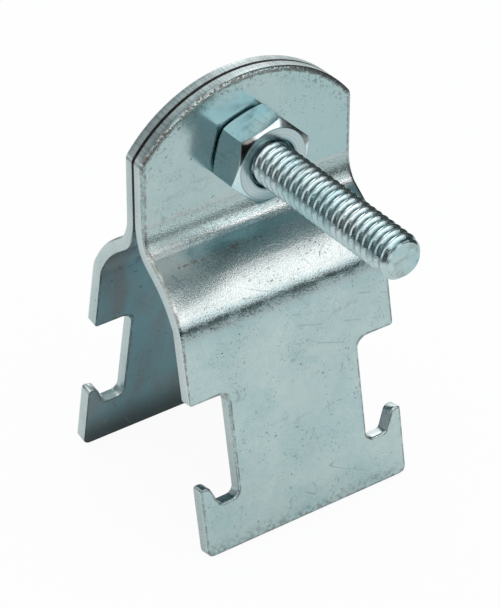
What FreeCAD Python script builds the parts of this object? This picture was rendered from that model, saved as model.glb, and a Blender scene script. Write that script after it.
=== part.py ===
import FreeCAD, Part

# Strut pipe clamp for 3/4 inch conduit: two alike stampings that hook under the lips of a
# strut channel, drawn together over the conduit by one hex head screw and one hex nut.
#
# Frame: +Z up, away from the strut; X along the conduit, across the strut's slot;
# the screw points along -Y. The origin lies in the plane of the strut's face, where the
# shoulders sit, midway between the two halves and under the screw. Millimetres.

import math
import os

import Sketcher
from FreeCAD import Placement, Rotation, Vector

DIMENSIONS = [
    # stamped halves
    ("strut_slot", 22.2, "slot of the strut channel, 7/8 inch"),
    ("slot_clearance", 0.3, "clearance between the neck and each side of the slot"),
    ("hook_reach", 6.05, "how far each hook reaches out past the neck"),
    ("sheet_gauge", 1.9, "thickness of the steel sheet"),
    ("ear_gap", 0.15, "gap between the two ears when the clamp is closed"),
    ("screw_height", 29.15, "screw axis above the strut's face"),
    ("ear_apex", 10.9, "top of the ear above the screw axis"),
    ("ear_arc_rise", 8.4, "rise of the ear's rounded top from its sides to its apex"),
    ("ear_corner_radius", 1.4, "rounding where the arc meets the sides"),
    ("nut_room", 0.79, "clearance between the nut's corners and the bend below them"),
    ("foot_bend_radius", 4.9, "outer face radius of the bend at the ear's foot"),
    ("seat_angle", 53.0, "steepest slope of the saddle, degrees from upright"),
    ("slope_flat", 1.8, "straight part between the two bends"),
    ("seat_radius", 16.3, "outer face radius of the saddle over the conduit"),
    ("flare_angle", 31.0, "slope at the saddle's lower end, degrees from upright"),
    ("flare_flat", 1.4, "straight part below the saddle"),
    ("crease_radius", 2.5, "outer face radius of the crease above the leg"),
    ("leg_splay", 10.5, "slope of the leg in the free state, degrees from upright"),
    ("hole_clearance", 0.425, "radial clearance of the screw in each ear's hole"),
    # T shaped foot, measured on the outer face along the leg from the shoulders
    ("notch_corner_radius", 1.7, "inner corner between shoulder and neck"),
    ("notch_floor_drop", 15.85, "shoulder down to the floor of the notch"),
    ("notch_floor_radius", 1.1, "corner between neck and floor"),
    ("hook_height", 3.15, "tip of the hook above the floor of the notch"),
    ("hook_root", 2.85, "width of the hook at the floor of the notch"),
    ("hook_tip_flat", 1.45, "flat tip of the hook"),
    ("foot_height", 7.45, "floor of the notch down to the foot's lower edge"),
    ("foot_corner_radius", 1.1, "rounding of the foot's lower corners"),
    ("stamped_corner_radius", 0.45, "rounding of the shoulder and hook corners"),
    # screw, 1/4-20
    ("thread_major", 6.25, "outer diameter of the screw's thread"),
    ("screw_length", 37.1, "under the head to the end"),
    ("screw_end_chamfer", 0.7, "chamfer at the screw's end"),
    ("head_across_flats", 11.11, "hex head, 7/16 inch"),
    ("head_height", 4.8, "height of the hex head"),
    ("head_crown_inset", 0.355, "the head's flat circle inside its six sides"),
    ("head_crown_angle", 25.0, "chamfer of the head's corners, degrees"),
    ("slot_width", 1.75, "driver slot in the head"),
    ("slot_depth", 2.2, "depth of the driver slot"),
    # hex nut, 1/4-20
    ("nut_across_flats", 11.11, "hex nut, 7/16 inch"),
    ("nut_height", 5.56, "height of the hex nut, 7/32 inch"),
    ("nut_crown_inset", 0.405, "the flat circle on each face of the nut inside its six sides"),
    ("nut_crown_angle", 30.0, "chamfer of the nut's corners, degrees"),
    ("bore_countersink", 0.45, "countersink at both ends of the nut's bore"),
    ("thread_clearance", 0.04, "radial clearance between screw and nut"),
    ("nut_clock_angle", 15.8, "turn of the nut's corners about the screw axis, degrees"),
    ("head_clock_angle", 20.0, "turn of the head's corners about the screw axis, degrees"),
]

CUT_MARGIN = 1.0      # how far a cutting outline reaches past the piece it trims
NOTCH_CUT_GAUGES = 6  # length of the notch's cut through the leg, in sheet thicknesses
TOLERANCE = 1e-6      # lengths, directions and volumes closer than this count as equal
DIM = {alias: value for alias, value, note in DIMENSIONS}

# Sizes that follow from the driving ones, each as a formula and as its value

NECK_HALF = "(#strut_slot / 2 - #slot_clearance)"
STRAP_HALF = "(#strut_slot / 2 - #slot_clearance + #hook_reach)"
EAR_FOOT = "(#nut_across_flats / 2 / cos(30 deg) + #nut_room)"
FOOT_DROP = "(#notch_floor_drop + #foot_height)"
COS_30 = math.cos(math.radians(30))

neck_half = DIM["strut_slot"] / 2 - DIM["slot_clearance"]
strap_half = neck_half + DIM["hook_reach"]
ear_foot = DIM["nut_across_flats"] / 2 / COS_30 + DIM["nut_room"]
foot_drop = DIM["notch_floor_drop"] + DIM["foot_height"]


# Document and driving dimensions

doc = FreeCAD.newDocument("StrutPipeClamp")
sheet = doc.addObject("Spreadsheet::Sheet", "Dimensions")
for row, (alias, value, note) in enumerate(DIMENSIONS, start=1):
    sheet.set(f"A{row}", note)
    sheet.set(f"B{row}", str(value))
    sheet.setAlias(f"B{row}", alias)
doc.recompute()


def bind(target, path, formula):
    """Binds a property to a formula, in which #name stands for a cell of the sheet."""
    target.setExpression(path, formula.replace("#", "Dimensions."))


def origin_plane(body, role):
    """Returns the origin plane of a body by its role, such as XZ_Plane."""
    return next(item for item in body.Origin.OriginFeatures if item.Role == role)


def new_sketch(body, name, role):
    """Returns a new sketch of the body on one of its own origin planes."""
    sketch = body.newObject("Sketcher::SketchObject", name)
    sketch.AttachmentSupport = [(origin_plane(body, role), "")]
    sketch.MapMode = "FlatFace"
    return sketch


def dimension(sketch, kind, *places, name, value, formula):
    """Adds a named driving constraint to a sketch and binds it to a formula."""
    index = sketch.addConstraint(Sketcher.Constraint(kind, *places, value))
    sketch.renameConstraint(index, name)
    bind(sketch, f"Constraints.{name}", formula)
    return index


def reference(sketch, kind, *places, name, value):
    """Adds a named constraint that only measures the sketch, for other formulas to read."""
    index = sketch.addConstraint(Sketcher.Constraint(kind, *places, value))
    sketch.setDriving(index, False)
    sketch.renameConstraint(index, name)


START, END, CENTRE = range(1, 4)     # places on a sketch edge
AXIS_H, AXIS_V = range(-1, -3, -1)   # the sketch's own axes
ORIGIN = (AXIS_H, START)


# Bent strip, walked from the ear down to the foot

def walk_strip(offset):
    """Returns the strip's edges on one face, as lines and arcs that run downwards.

    offset is the distance of that face inside the outer face. A point is (out, height), and
    heading is the slope from upright, positive outwards.
    """
    slope = math.radians(DIM["seat_angle"])
    flare = math.radians(DIM["flare_angle"])
    splay = math.radians(DIM["leg_splay"])
    out = DIM["ear_gap"] / 2 + DIM["sheet_gauge"]
    height = DIM["screw_height"] - ear_foot
    heading = 0.0
    top = DIM["screw_height"] + DIM["ear_apex"] + CUT_MARGIN
    edges = [("line", (out - offset, top), (out - offset, height))]

    def at(point, angle):
        """Moves a point of the outer face inward by the offset."""
        return (point[0] - offset * math.cos(angle), point[1] - offset * math.sin(angle))

    def bend(radius, new_heading):
        """Adds an arc; it bends outwards if the heading grows, and inwards if it falls."""
        nonlocal out, height, heading
        side = 1.0 if new_heading > heading else -1.0
        centre = (out + side * radius * math.cos(heading), height + side * radius * math.sin(heading))
        start = at((out, height), heading)
        out = centre[0] - side * radius * math.cos(new_heading)
        height = centre[1] - side * radius * math.sin(new_heading)
        heading = new_heading
        edges.append(("arc", start, at((out, height), heading), centre, side))

    def straight(length):
        """Adds a straight run along the heading."""
        nonlocal out, height
        start = at((out, height), heading)
        out += length * math.sin(heading)
        height -= length * math.cos(heading)
        edges.append(("line", start, at((out, height), heading)))

    bend(DIM["foot_bend_radius"], slope)
    straight(DIM["slope_flat"])
    bend(DIM["seat_radius"], flare)
    straight(DIM["flare_flat"])
    bend(DIM["crease_radius"], splay)
    straight(height / math.cos(splay) + foot_drop)
    return edges


def arc_edge(start, end, centre, side):
    """Returns a sketch arc between two points, and which of its ends is the start point."""
    radius = math.dist(start, centre)
    first = math.atan2(start[1] - centre[1], start[0] - centre[0])
    last = math.atan2(end[1] - centre[1], end[0] - centre[0])
    forward = side > 0
    if not forward:
        first, last = last, first
    circle = Part.Circle(Vector(*centre, 0), Vector(0, 0, 1), radius)
    return Part.ArcOfCircle(circle, first, last), (START, END) if forward else (END, START)


def strip_profile(body, name):
    """Draws the side view of one half, as a closed outline of even thickness."""
    sketch = new_sketch(body, name, "YZ_Plane")
    faces = []
    for offset in (0.0, DIM["sheet_gauge"]):
        run = []
        for edge in walk_strip(offset):
            if edge[0] == "line":
                shape = Part.LineSegment(Vector(*edge[1], 0), Vector(*edge[2], 0))
                ends = (START, END)
            else:
                shape, ends = arc_edge(*edge[1:])
            run.append((sketch.addGeometry(shape), ends))
        for (upper, upper_ends), (lower, lower_ends) in zip(run, run[1:]):
            sketch.addConstraint(Sketcher.Constraint("Tangent", upper, upper_ends[1], lower, lower_ends[0]))
        faces.append(run)
    outer, inner = ([index for index, ends in run] for run in faces)
    ear, foot_bend, slope, seat, flare, crease, leg = outer

    for outer_arc, inner_arc in zip(outer[1::2], inner[1::2]):
        sketch.addConstraint(Sketcher.Constraint("Coincident", outer_arc, CENTRE, inner_arc, CENTRE))
    for outer_line, inner_line in zip(outer[2::2], inner[2::2]):
        sketch.addConstraint(Sketcher.Constraint("Parallel", outer_line, inner_line))
    sketch.addConstraint(Sketcher.Constraint("Vertical", ear))
    sketch.addConstraint(Sketcher.Constraint("Vertical", inner[0]))

    for outer_line, inner_line, place in ((ear, inner[0], START), (leg, inner[-1], END)):
        corners = (sketch.getPoint(outer_line, place), sketch.getPoint(inner_line, place))
        cap = sketch.addGeometry(Part.LineSegment(*corners))
        sketch.addConstraint(Sketcher.Constraint("Coincident", cap, START, outer_line, place))
        sketch.addConstraint(Sketcher.Constraint("Coincident", cap, END, inner_line, place))
        sketch.addConstraint(Sketcher.Constraint("Perpendicular", cap, outer_line))

    dimension(sketch, "DistanceX", *ORIGIN, inner[0], START, name="parting_offset",
              value=DIM["ear_gap"] / 2, formula="#ear_gap / 2")
    dimension(sketch, "DistanceX", inner[0], START, ear, START, name="gauge",
              value=DIM["sheet_gauge"], formula="#sheet_gauge")
    dimension(sketch, "DistanceY", *ORIGIN, ear, START, name="blank_top",
              value=DIM["screw_height"] + DIM["ear_apex"] + CUT_MARGIN,
              formula=f"#screw_height + #ear_apex + {CUT_MARGIN}")
    dimension(sketch, "DistanceY", *ORIGIN, ear, END, name="ear_foot",
              value=DIM["screw_height"] - ear_foot, formula=f"#screw_height - {EAR_FOOT}")
    for index, size in ((foot_bend, "foot_bend_radius"), (seat, "seat_radius"), (crease, "crease_radius")):
        dimension(sketch, "Radius", index, name=size, value=DIM[size], formula=f"#{size}")
    for index, size in ((slope, "slope_flat"), (flare, "flare_flat")):
        dimension(sketch, "Distance", index, name=size, value=DIM[size], formula=f"#{size}")
    for index, size in ((slope, "seat_angle"), (flare, "flare_angle"), (leg, "leg_splay")):
        dimension(sketch, "Angle", index, name=size,
                  value=math.radians(DIM[size] - 90), formula=f"#{size} * 1 deg - 90 deg")
    dimension(sketch, "DistanceY", leg, END, *ORIGIN, name="foot_depth",
              value=foot_drop * math.cos(math.radians(DIM["leg_splay"])),
              formula=f"{FOOT_DROP} * cos(#leg_splay * 1 deg)")
    root = sketch.getPoint(leg, START)
    reference(sketch, "DistanceX", *ORIGIN, leg, START, name="leg_root_out", value=root.x)
    reference(sketch, "DistanceY", *ORIGIN, leg, START, name="leg_root_height", value=root.y)
    return sketch


# Features shared by the bodies

def pad(body, name, sketch, length, symmetric=False, reverse=False):
    """Adds the sketch's outline as material of the given length, a formula."""
    feature = body.newObject("PartDesign::Pad", name)
    feature.Profile = sketch
    feature.SideType = "Symmetric" if symmetric else "One side"
    feature.Reversed = reverse
    bind(feature, "Length", length)
    return feature


def cut(body, name, sketch, length=None, symmetric=True, reverse=False):
    """Cuts the sketch's outline out of the body, right through if no length is given."""
    feature = body.newObject("PartDesign::Pocket", name)
    feature.Profile = sketch
    feature.SideType = "Symmetric" if symmetric else "One side"
    feature.Reversed = reverse
    if length is None:
        feature.Type = "ThroughAll"
    else:
        bind(feature, "Length", length)
    return feature


def turn_off(body, name, sketch):
    """Turns the sketch's outline off the body, about the sketch's own upright axis."""
    feature = body.newObject("PartDesign::Groove", name)
    feature.Profile = sketch
    feature.ReferenceAxis = (sketch, ["V_Axis"])
    feature.Angle = 360
    return feature


def dress_edges(body, kind, name, size, keep):
    """Adds a Fillet or a Chamfer to the tip's edges that keep(edge) picks."""
    doc.recompute()
    base = body.Tip
    picked = [f"Edge{number}" for number, edge in enumerate(base.Shape.Edges, start=1) if keep(edge)]
    feature = body.newObject(f"PartDesign::{kind}", name)
    feature.Base = (base, picked)
    bind(feature, "Radius" if kind == "Fillet" else "Size", size)
    return feature


def closed_outline(sketch, corners):
    """Draws a closed outline of straight lines through the corners, and returns the lines."""
    points = [Vector(*corner, 0) for corner in corners]
    lines = [
        sketch.addGeometry(Part.LineSegment(start, end))
        for start, end in zip(points, points[1:] + points[:1])
    ]
    for line, following in zip(lines, lines[1:] + lines[:1]):
        sketch.addConstraint(Sketcher.Constraint("Coincident", line, END, following, START))
    return lines


def level_and_upright(sketch, level, upright):
    """Makes some lines of a sketch horizontal and others vertical."""
    for line in level:
        sketch.addConstraint(Sketcher.Constraint("Horizontal", line))
    for line in upright:
        sketch.addConstraint(Sketcher.Constraint("Vertical", line))


# Stamped half

def ear_outline(body, name):
    """Draws the waste above the ear's rounded top.

    The arc springs from the strap's two sides, and a short ledge runs outwards from each.
    """
    sketch = new_sketch(body, name, "XZ_Plane")
    rise = DIM["ear_arc_rise"]
    radius = (strap_half ** 2 + rise ** 2) / (2 * rise)
    apex = DIM["screw_height"] + DIM["ear_apex"]
    spring = math.asin((radius - rise) / radius)
    reach = strap_half + CUT_MARGIN
    waste_top = apex + CUT_MARGIN
    circle = Part.Circle(Vector(0, apex - radius, 0), Vector(0, 0, 1), radius)
    arc = sketch.addGeometry(Part.ArcOfCircle(circle, spring, math.pi - spring))
    corners = [(-strap_half, apex - rise), (-reach, apex - rise), (-reach, waste_top),
               (reach, waste_top), (reach, apex - rise), (strap_half, apex - rise)]
    edges = [
        sketch.addGeometry(Part.LineSegment(Vector(*start, 0), Vector(*end, 0)))
        for start, end in zip(corners, corners[1:])
    ]
    left_ledge, left, top, right, right_ledge = edges
    for first, second in zip([arc] + edges, edges + [arc]):
        sketch.addConstraint(Sketcher.Constraint("Coincident", first, END, second, START))
    level_and_upright(sketch, (left_ledge, top, right_ledge), (left, right))
    sketch.addConstraint(Sketcher.Constraint("PointOnObject", arc, CENTRE, AXIS_V))
    sketch.addConstraint(Sketcher.Constraint("Horizontal", arc, START, arc, END))
    sketch.addConstraint(Sketcher.Constraint("Equal", left_ledge, right_ledge))
    dimension(sketch, "Radius", arc, name="arc_radius", value=radius,
              formula=f"({STRAP_HALF} ^ 2 + #ear_arc_rise ^ 2) / (2 * #ear_arc_rise)")
    dimension(sketch, "DistanceX", *ORIGIN, arc, START, name="strap_half", value=strap_half,
              formula=STRAP_HALF)
    dimension(sketch, "DistanceY", *ORIGIN, arc, START, name="spring_height", value=apex - rise,
              formula="#screw_height + #ear_apex - #ear_arc_rise")
    dimension(sketch, "DistanceX", *ORIGIN, right, START, name="reach", value=reach,
              formula=f"{STRAP_HALF} + {CUT_MARGIN}")
    dimension(sketch, "DistanceY", *ORIGIN, top, START, name="waste_top", value=waste_top,
              formula=f"#screw_height + #ear_apex + {CUT_MARGIN}")
    return sketch


def screw_hole(body, name):
    """Draws the screw's clearance hole in the ear."""
    sketch = new_sketch(body, name, "XZ_Plane")
    centre = Vector(0, DIM["screw_height"], 0)
    radius = DIM["thread_major"] / 2 + DIM["hole_clearance"]
    hole = sketch.addGeometry(Part.Circle(centre, Vector(0, 0, 1), radius))
    sketch.addConstraint(Sketcher.Constraint("PointOnObject", hole, CENTRE, AXIS_V))
    dimension(sketch, "DistanceY", *ORIGIN, hole, CENTRE, name="screw_height",
              value=DIM["screw_height"], formula="#screw_height")
    dimension(sketch, "Radius", hole, name="bore_radius", value=radius,
              formula="#thread_major / 2 + #hole_clearance")
    return sketch


def notch_outline(body, name, profile):
    """Draws the notch beside the neck, in the plane of the leg's outer face.

    The sketch's origin is where that face meets the strut's face, so its heights run along
    the leg from the shoulder. The outline goes down the neck, along the floor and up the hook.
    """
    sketch = new_sketch(body, name, "XZ_Plane")
    sketch.AttachmentOffset = Placement(Vector(), Rotation(Vector(1, 0, 0), DIM["leg_splay"]))
    bind(sketch, "AttachmentOffset.Rotation.Angle", "#leg_splay * 1 deg")
    root = f"{profile.Name}.Constraints"
    bind(sketch, "AttachmentOffset.Base.z",
         f"-({root}.leg_root_out + {root}.leg_root_height * tan(#leg_splay * 1 deg))")

    shoulder_round = DIM["notch_corner_radius"]
    floor_round = DIM["notch_floor_radius"]
    floor = -DIM["notch_floor_drop"]
    tip = floor + DIM["hook_height"]
    root_inner = strap_half - DIM["hook_root"]
    tip_inner = strap_half - DIM["hook_tip_flat"]
    reach = strap_half + CUT_MARGIN

    def line(start, end):
        return sketch.addGeometry(Part.LineSegment(Vector(*start, 0), Vector(*end, 0)))

    def quarter(centre_x, centre_y, radius, first_quarter):
        circle = Part.Circle(Vector(centre_x, centre_y, 0), Vector(0, 0, 1), radius)
        first = first_quarter * math.pi / 2
        return sketch.addGeometry(Part.ArcOfCircle(circle, first, first + math.pi / 2))

    shoulder = line((reach, 0), (neck_half + shoulder_round, 0))
    shoulder_corner = quarter(neck_half + shoulder_round, -shoulder_round, shoulder_round, 1)
    neck_side = line((neck_half, -shoulder_round), (neck_half, floor + floor_round))
    floor_corner = quarter(neck_half + floor_round, floor + floor_round, floor_round, 2)
    notch_floor = line((neck_half + floor_round, floor), (root_inner, floor))
    finger = line((root_inner, floor), (tip_inner, tip))
    hook_tip = line((tip_inner, tip), (reach, tip))
    outside = line((reach, tip), (reach, 0))

    for first, second in ((shoulder, shoulder_corner), (shoulder_corner, neck_side),
                          (neck_side, floor_corner), (floor_corner, notch_floor)):
        sketch.addConstraint(Sketcher.Constraint("Tangent", first, END, second, START))
    for first, second in ((notch_floor, finger), (finger, hook_tip), (hook_tip, outside),
                          (outside, shoulder)):
        sketch.addConstraint(Sketcher.Constraint("Coincident", first, END, second, START))
    level_and_upright(sketch, (shoulder, notch_floor, hook_tip), (neck_side, outside))
    sketch.addConstraint(Sketcher.Constraint("PointOnObject", shoulder, END, AXIS_H))
    dimension(sketch, "Radius", shoulder_corner, name="corner_radius",
              value=shoulder_round, formula="#notch_corner_radius")
    dimension(sketch, "Radius", floor_corner, name="floor_radius",
              value=floor_round, formula="#notch_floor_radius")
    dimension(sketch, "DistanceX", *ORIGIN, neck_side, START, name="neck_half",
              value=neck_half, formula=NECK_HALF)
    dimension(sketch, "DistanceY", notch_floor, END, *ORIGIN, name="floor_drop",
              value=-floor, formula="#notch_floor_drop")
    dimension(sketch, "DistanceX", *ORIGIN, notch_floor, END, name="root_inner",
              value=root_inner, formula=f"{STRAP_HALF} - #hook_root")
    dimension(sketch, "DistanceY", finger, START, finger, END, name="hook_height",
              value=DIM["hook_height"], formula="#hook_height")
    dimension(sketch, "DistanceX", *ORIGIN, hook_tip, START, name="tip_inner",
              value=tip_inner, formula=f"{STRAP_HALF} - #hook_tip_flat")
    dimension(sketch, "DistanceX", *ORIGIN, outside, START, name="reach",
              value=reach, formula=f"{STRAP_HALF} + {CUT_MARGIN}")
    return sketch


def across_sheet(edge, normal):
    """Tells whether an edge is straight and runs square through the sheet."""
    if not isinstance(edge.Curve, Part.Line):
        return False
    return abs(abs(edge.Curve.Direction.dot(normal)) - 1) < TOLERANCE


def stamped_half(name):
    """Builds one half of the clamp, with its ear flat against the parting plane and its leg
    splayed towards +Y."""
    body = doc.addObject("PartDesign::Body", name)
    body.Label = name
    profile = strip_profile(body, f"{name}_profile")
    pad(body, f"{name}_strip", profile, f"2 * {STRAP_HALF}", symmetric=True)
    cut(body, f"{name}_ear_cut", ear_outline(body, f"{name}_ear_outline"))
    cut(body, f"{name}_screw_hole", screw_hole(body, f"{name}_screw_hole_circle"))
    notch = cut(body, f"{name}_notch", notch_outline(body, f"{name}_notch_outline", profile),
                length=f"{NOTCH_CUT_GAUGES} * #sheet_gauge")
    mirrored = body.newObject("PartDesign::Mirrored", f"{name}_other_notch")
    mirrored.Originals = [notch]
    mirrored.MirrorPlane = (origin_plane(body, "YZ_Plane"), [""])
    body.Tip = mirrored

    splay = math.radians(DIM["leg_splay"])
    leg_normal = Vector(0, math.cos(splay), math.sin(splay))
    tip_inner = strap_half - DIM["hook_tip_flat"] - TOLERANCE
    foot_level = -DIM["notch_floor_drop"]
    dress_edges(body, "Fillet", f"{name}_ear_corners", "#ear_corner_radius",
                lambda edge: across_sheet(edge, Vector(0, 1, 0))
                and edge.CenterOfMass.z > DIM["screw_height"])
    dress_edges(body, "Fillet", f"{name}_foot_corners", "#foot_corner_radius",
                lambda edge: across_sheet(edge, leg_normal) and edge.CenterOfMass.z < foot_level)
    dress_edges(body, "Fillet", f"{name}_stamped_corners", "#stamped_corner_radius",
                lambda edge: across_sheet(edge, leg_normal) and abs(edge.CenterOfMass.x) > tip_inner
                and edge.CenterOfMass.z > foot_level)
    return body


# Hexagons and crowns, for the nut and the screw's head

def hexagon(body, name, flats, clock):
    """Draws a hexagon round the origin, turned by the clock angle."""
    sketch = new_sketch(body, name, "XY_Plane")
    sketch.AttachmentOffset = Placement(Vector(), Rotation(Vector(0, 0, 1), DIM[clock]))
    bind(sketch, "AttachmentOffset.Rotation.Angle", f"#{clock} * 1 deg")
    corner_radius = DIM[flats] / 2 / COS_30
    corners = [
        (corner_radius * math.cos(math.radians(60 * turn)), corner_radius * math.sin(math.radians(60 * turn)))
        for turn in range(6)
    ]
    sides = closed_outline(sketch, corners)
    circle = sketch.addGeometry(Part.Circle(Vector(), Vector(0, 0, 1), corner_radius), True)
    sketch.addConstraint(Sketcher.Constraint("Coincident", circle, CENTRE, *ORIGIN))
    for side in sides:
        sketch.addConstraint(Sketcher.Constraint("PointOnObject", side, START, circle))
    for side in sides[1:]:
        sketch.addConstraint(Sketcher.Constraint("Equal", sides[0], side))
    sketch.addConstraint(Sketcher.Constraint("PointOnObject", sides[0], START, AXIS_H))
    dimension(sketch, "Radius", circle, name="corner_radius", value=corner_radius,
              formula=f"#{flats} / 2 / cos(30 deg)")
    return sketch


def crown_outline(body, name, flats, inset, angle, height, rises):
    """Draws the wedge that is turned off a hexagon's corners.

    height is a named size or None for the face at zero; rises is 1 if the hexagon's material
    lies above the face and -1 if it lies below.
    """
    sketch = new_sketch(body, name, "XZ_Plane")
    level = 0.0 if height is None else DIM[height] * (-1 if rises > 0 else 1)
    inner = DIM[flats] / 2 - DIM[inset]
    outer = DIM[flats] / 2 / COS_30 + CUT_MARGIN
    depth = (outer - inner) * math.tan(math.radians(DIM[angle]))
    face, outside, bevel = closed_outline(
        sketch, [(inner, level), (outer, level), (outer, level + rises * depth)])
    level_and_upright(sketch, (face,), (outside,))
    if height is None:
        sketch.addConstraint(Sketcher.Constraint("PointOnObject", face, START, AXIS_H))
    else:
        ends = (face, START, *ORIGIN) if rises > 0 else (*ORIGIN, face, START)
        dimension(sketch, "DistanceY", *ends, name="face_level", value=DIM[height], formula=f"#{height}")
    dimension(sketch, "DistanceX", *ORIGIN, face, START, name="inner", value=inner,
              formula=f"#{flats} / 2 - #{inset}")
    dimension(sketch, "DistanceX", *ORIGIN, face, END, name="outer", value=outer,
              formula=f"#{flats} / 2 / cos(30 deg) + {CUT_MARGIN}")
    ends = (face, END, outside, END) if rises > 0 else (outside, END, face, END)
    width = f"(#{flats} / 2 * (1 / cos(30 deg) - 1) + {CUT_MARGIN} + #{inset})"
    dimension(sketch, "DistanceY", *ends, name="depth", value=depth,
              formula=f"{width} * tan(#{angle} * 1 deg)")
    return sketch


def round_section(body, name, radius, formula):
    """Draws a circle round the origin."""
    sketch = new_sketch(body, name, "XY_Plane")
    circle = sketch.addGeometry(Part.Circle(Vector(), Vector(0, 0, 1), radius))
    sketch.addConstraint(Sketcher.Constraint("Coincident", circle, CENTRE, *ORIGIN))
    dimension(sketch, "Radius", circle, name="radius", value=radius, formula=formula)
    return sketch


def is_round_edge(edge, radius):
    """Tells whether an edge is a full circle of the given radius."""
    return isinstance(edge.Curve, Part.Circle) and abs(edge.Curve.Radius - radius) < TOLERANCE


def seat_on_axis(body, face_formula, face_value):
    """Turns a body's own +Z axis to -Y, with its bearing face at the given place along Y."""
    body.Placement = Placement(Vector(0, face_value, DIM["screw_height"]), Rotation(Vector(1, 0, 0), 90))
    bind(body, "Placement.Base.y", face_formula)
    bind(body, "Placement.Base.z", "#screw_height")


# Hex nut, drawn with its bearing face at zero and its free face upwards

def hex_nut(name):
    """Builds the nut: two chamfered faces and a countersunk bore that clears the screw."""
    body = doc.addObject("PartDesign::Body", name)
    body.Label = name
    outline = hexagon(body, f"{name}_hexagon", "nut_across_flats", "nut_clock_angle")
    pad(body, f"{name}_blank", outline, "#nut_height")
    for side, height, rises in (("seat", None, 1), ("free", "nut_height", -1)):
        wedge = crown_outline(body, f"{name}_{side}_wedge", "nut_across_flats", "nut_crown_inset",
                              "nut_crown_angle", height, rises)
        turn_off(body, f"{name}_{side}_crown", wedge)
    bore = DIM["thread_major"] / 2 + DIM["thread_clearance"]
    cut(body, f"{name}_bore", round_section(body, f"{name}_bore_circle", bore,
                                            "#thread_major / 2 + #thread_clearance"))
    dress_edges(body, "Chamfer", f"{name}_countersinks", "#bore_countersink",
                lambda edge: is_round_edge(edge, bore))
    seat_on_axis(body, "-(#ear_gap / 2 + #sheet_gauge)", -(DIM["ear_gap"] / 2 + DIM["sheet_gauge"]))
    return body


# Screw, drawn with its head below zero and its shank upwards

def clamp_screw(name):
    """Builds the screw: slotted hex head and a shank of the thread's outer diameter."""
    body = doc.addObject("PartDesign::Body", name)
    body.Label = name
    outline = hexagon(body, f"{name}_hexagon", "head_across_flats", "head_clock_angle")
    pad(body, f"{name}_head", outline, "#head_height", reverse=True)
    turn_off(body, f"{name}_head_crown",
             crown_outline(body, f"{name}_head_wedge", "head_across_flats", "head_crown_inset",
                           "head_crown_angle", "head_height", 1))
    pad(body, f"{name}_shank", round_section(body, f"{name}_shank_circle", DIM["thread_major"] / 2,
                                             "#thread_major / 2"), "#screw_length")
    cut(body, f"{name}_slot", slot_outline(body, f"{name}_slot_outline"),
        length="#slot_depth", symmetric=False, reverse=True)
    dress_edges(body, "Chamfer", f"{name}_end", "#screw_end_chamfer",
                lambda edge: is_round_edge(edge, DIM["thread_major"] / 2)
                and edge.Curve.Center.z > DIM["screw_length"] / 2)
    seat_on_axis(body, "#ear_gap / 2 + #sheet_gauge", DIM["ear_gap"] / 2 + DIM["sheet_gauge"])
    return body


def slot_outline(body, name):
    """Draws the driver slot across the head's outer face."""
    sketch = new_sketch(body, name, "XY_Plane")
    turn = Rotation(Vector(0, 0, 1), DIM["head_clock_angle"])
    sketch.AttachmentOffset = Placement(Vector(0, 0, -DIM["head_height"]), turn)
    bind(sketch, "AttachmentOffset.Rotation.Angle", "#head_clock_angle * 1 deg")
    bind(sketch, "AttachmentOffset.Base.z", "-#head_height")
    reach = DIM["head_across_flats"] / 2 / COS_30 + CUT_MARGIN
    half = DIM["slot_width"] / 2
    low, right, high, left = closed_outline(
        sketch, [(-reach, -half), (reach, -half), (reach, half), (-reach, half)])
    level_and_upright(sketch, (low, high), (left, right))
    sketch.addConstraint(Sketcher.Constraint("Symmetric", low, START, high, START, *ORIGIN))
    dimension(sketch, "DistanceY", right, START, right, END, name="slot_width",
              value=DIM["slot_width"], formula="#slot_width")
    dimension(sketch, "DistanceX", low, START, low, END, name="slot_reach", value=2 * reach,
              formula=f"2 * (#head_across_flats / 2 / cos(30 deg) + {CUT_MARGIN})")
    return sketch


# Assembly

front_half = stamped_half("front_half")
front_half.Placement = Placement(Vector(), Rotation(Vector(0, 0, 1), 180))
rear_half = stamped_half("rear_half")
clamp_parts = [front_half, rear_half, clamp_screw("clamp_screw"), hex_nut("hex_nut")]
doc.recompute()


# Checks before anything is written

for item in doc.Objects:
    if {"Invalid", "Error"} & set(item.State):
        raise RuntimeError(f"{item.Name} failed: {item.State}")
    if item.TypeId == "Sketcher::SketchObject" and not item.FullyConstrained:
        raise RuntimeError(f"{item.Name} is not fully constrained")
    if item.TypeId in ("PartDesign::Pocket", "PartDesign::Groove", "PartDesign::Mirrored"):
        if item.Shape.Volume >= item.BaseFeature.Shape.Volume - TOLERANCE:
            raise RuntimeError(f"{item.Name} cuts nothing")
for body in clamp_parts:
    if body.Shape.isNull() or not body.Shape.isValid() or len(body.Shape.Solids) != 1:
        raise RuntimeError(f"{body.Label} is not one valid solid")

os.makedirs("parts", exist_ok=True)
for body in clamp_parts:
    body.Shape.exportStep(f"parts/{body.Label}.step")
    box = body.Shape.BoundBox
    print(f"{body.Label}: {body.Shape.Volume:.1f} mm3, X {box.XMin:.2f} to {box.XMax:.2f}, "
          f"Y {box.YMin:.2f} to {box.YMax:.2f}, Z {box.ZMin:.2f} to {box.ZMax:.2f}")
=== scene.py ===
import logging
import math
from dataclasses import dataclass, field
from enum import Enum
from functools import reduce
from typing import Iterable

import bmesh
import bpy
from mathutils import Matrix, Vector


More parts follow.
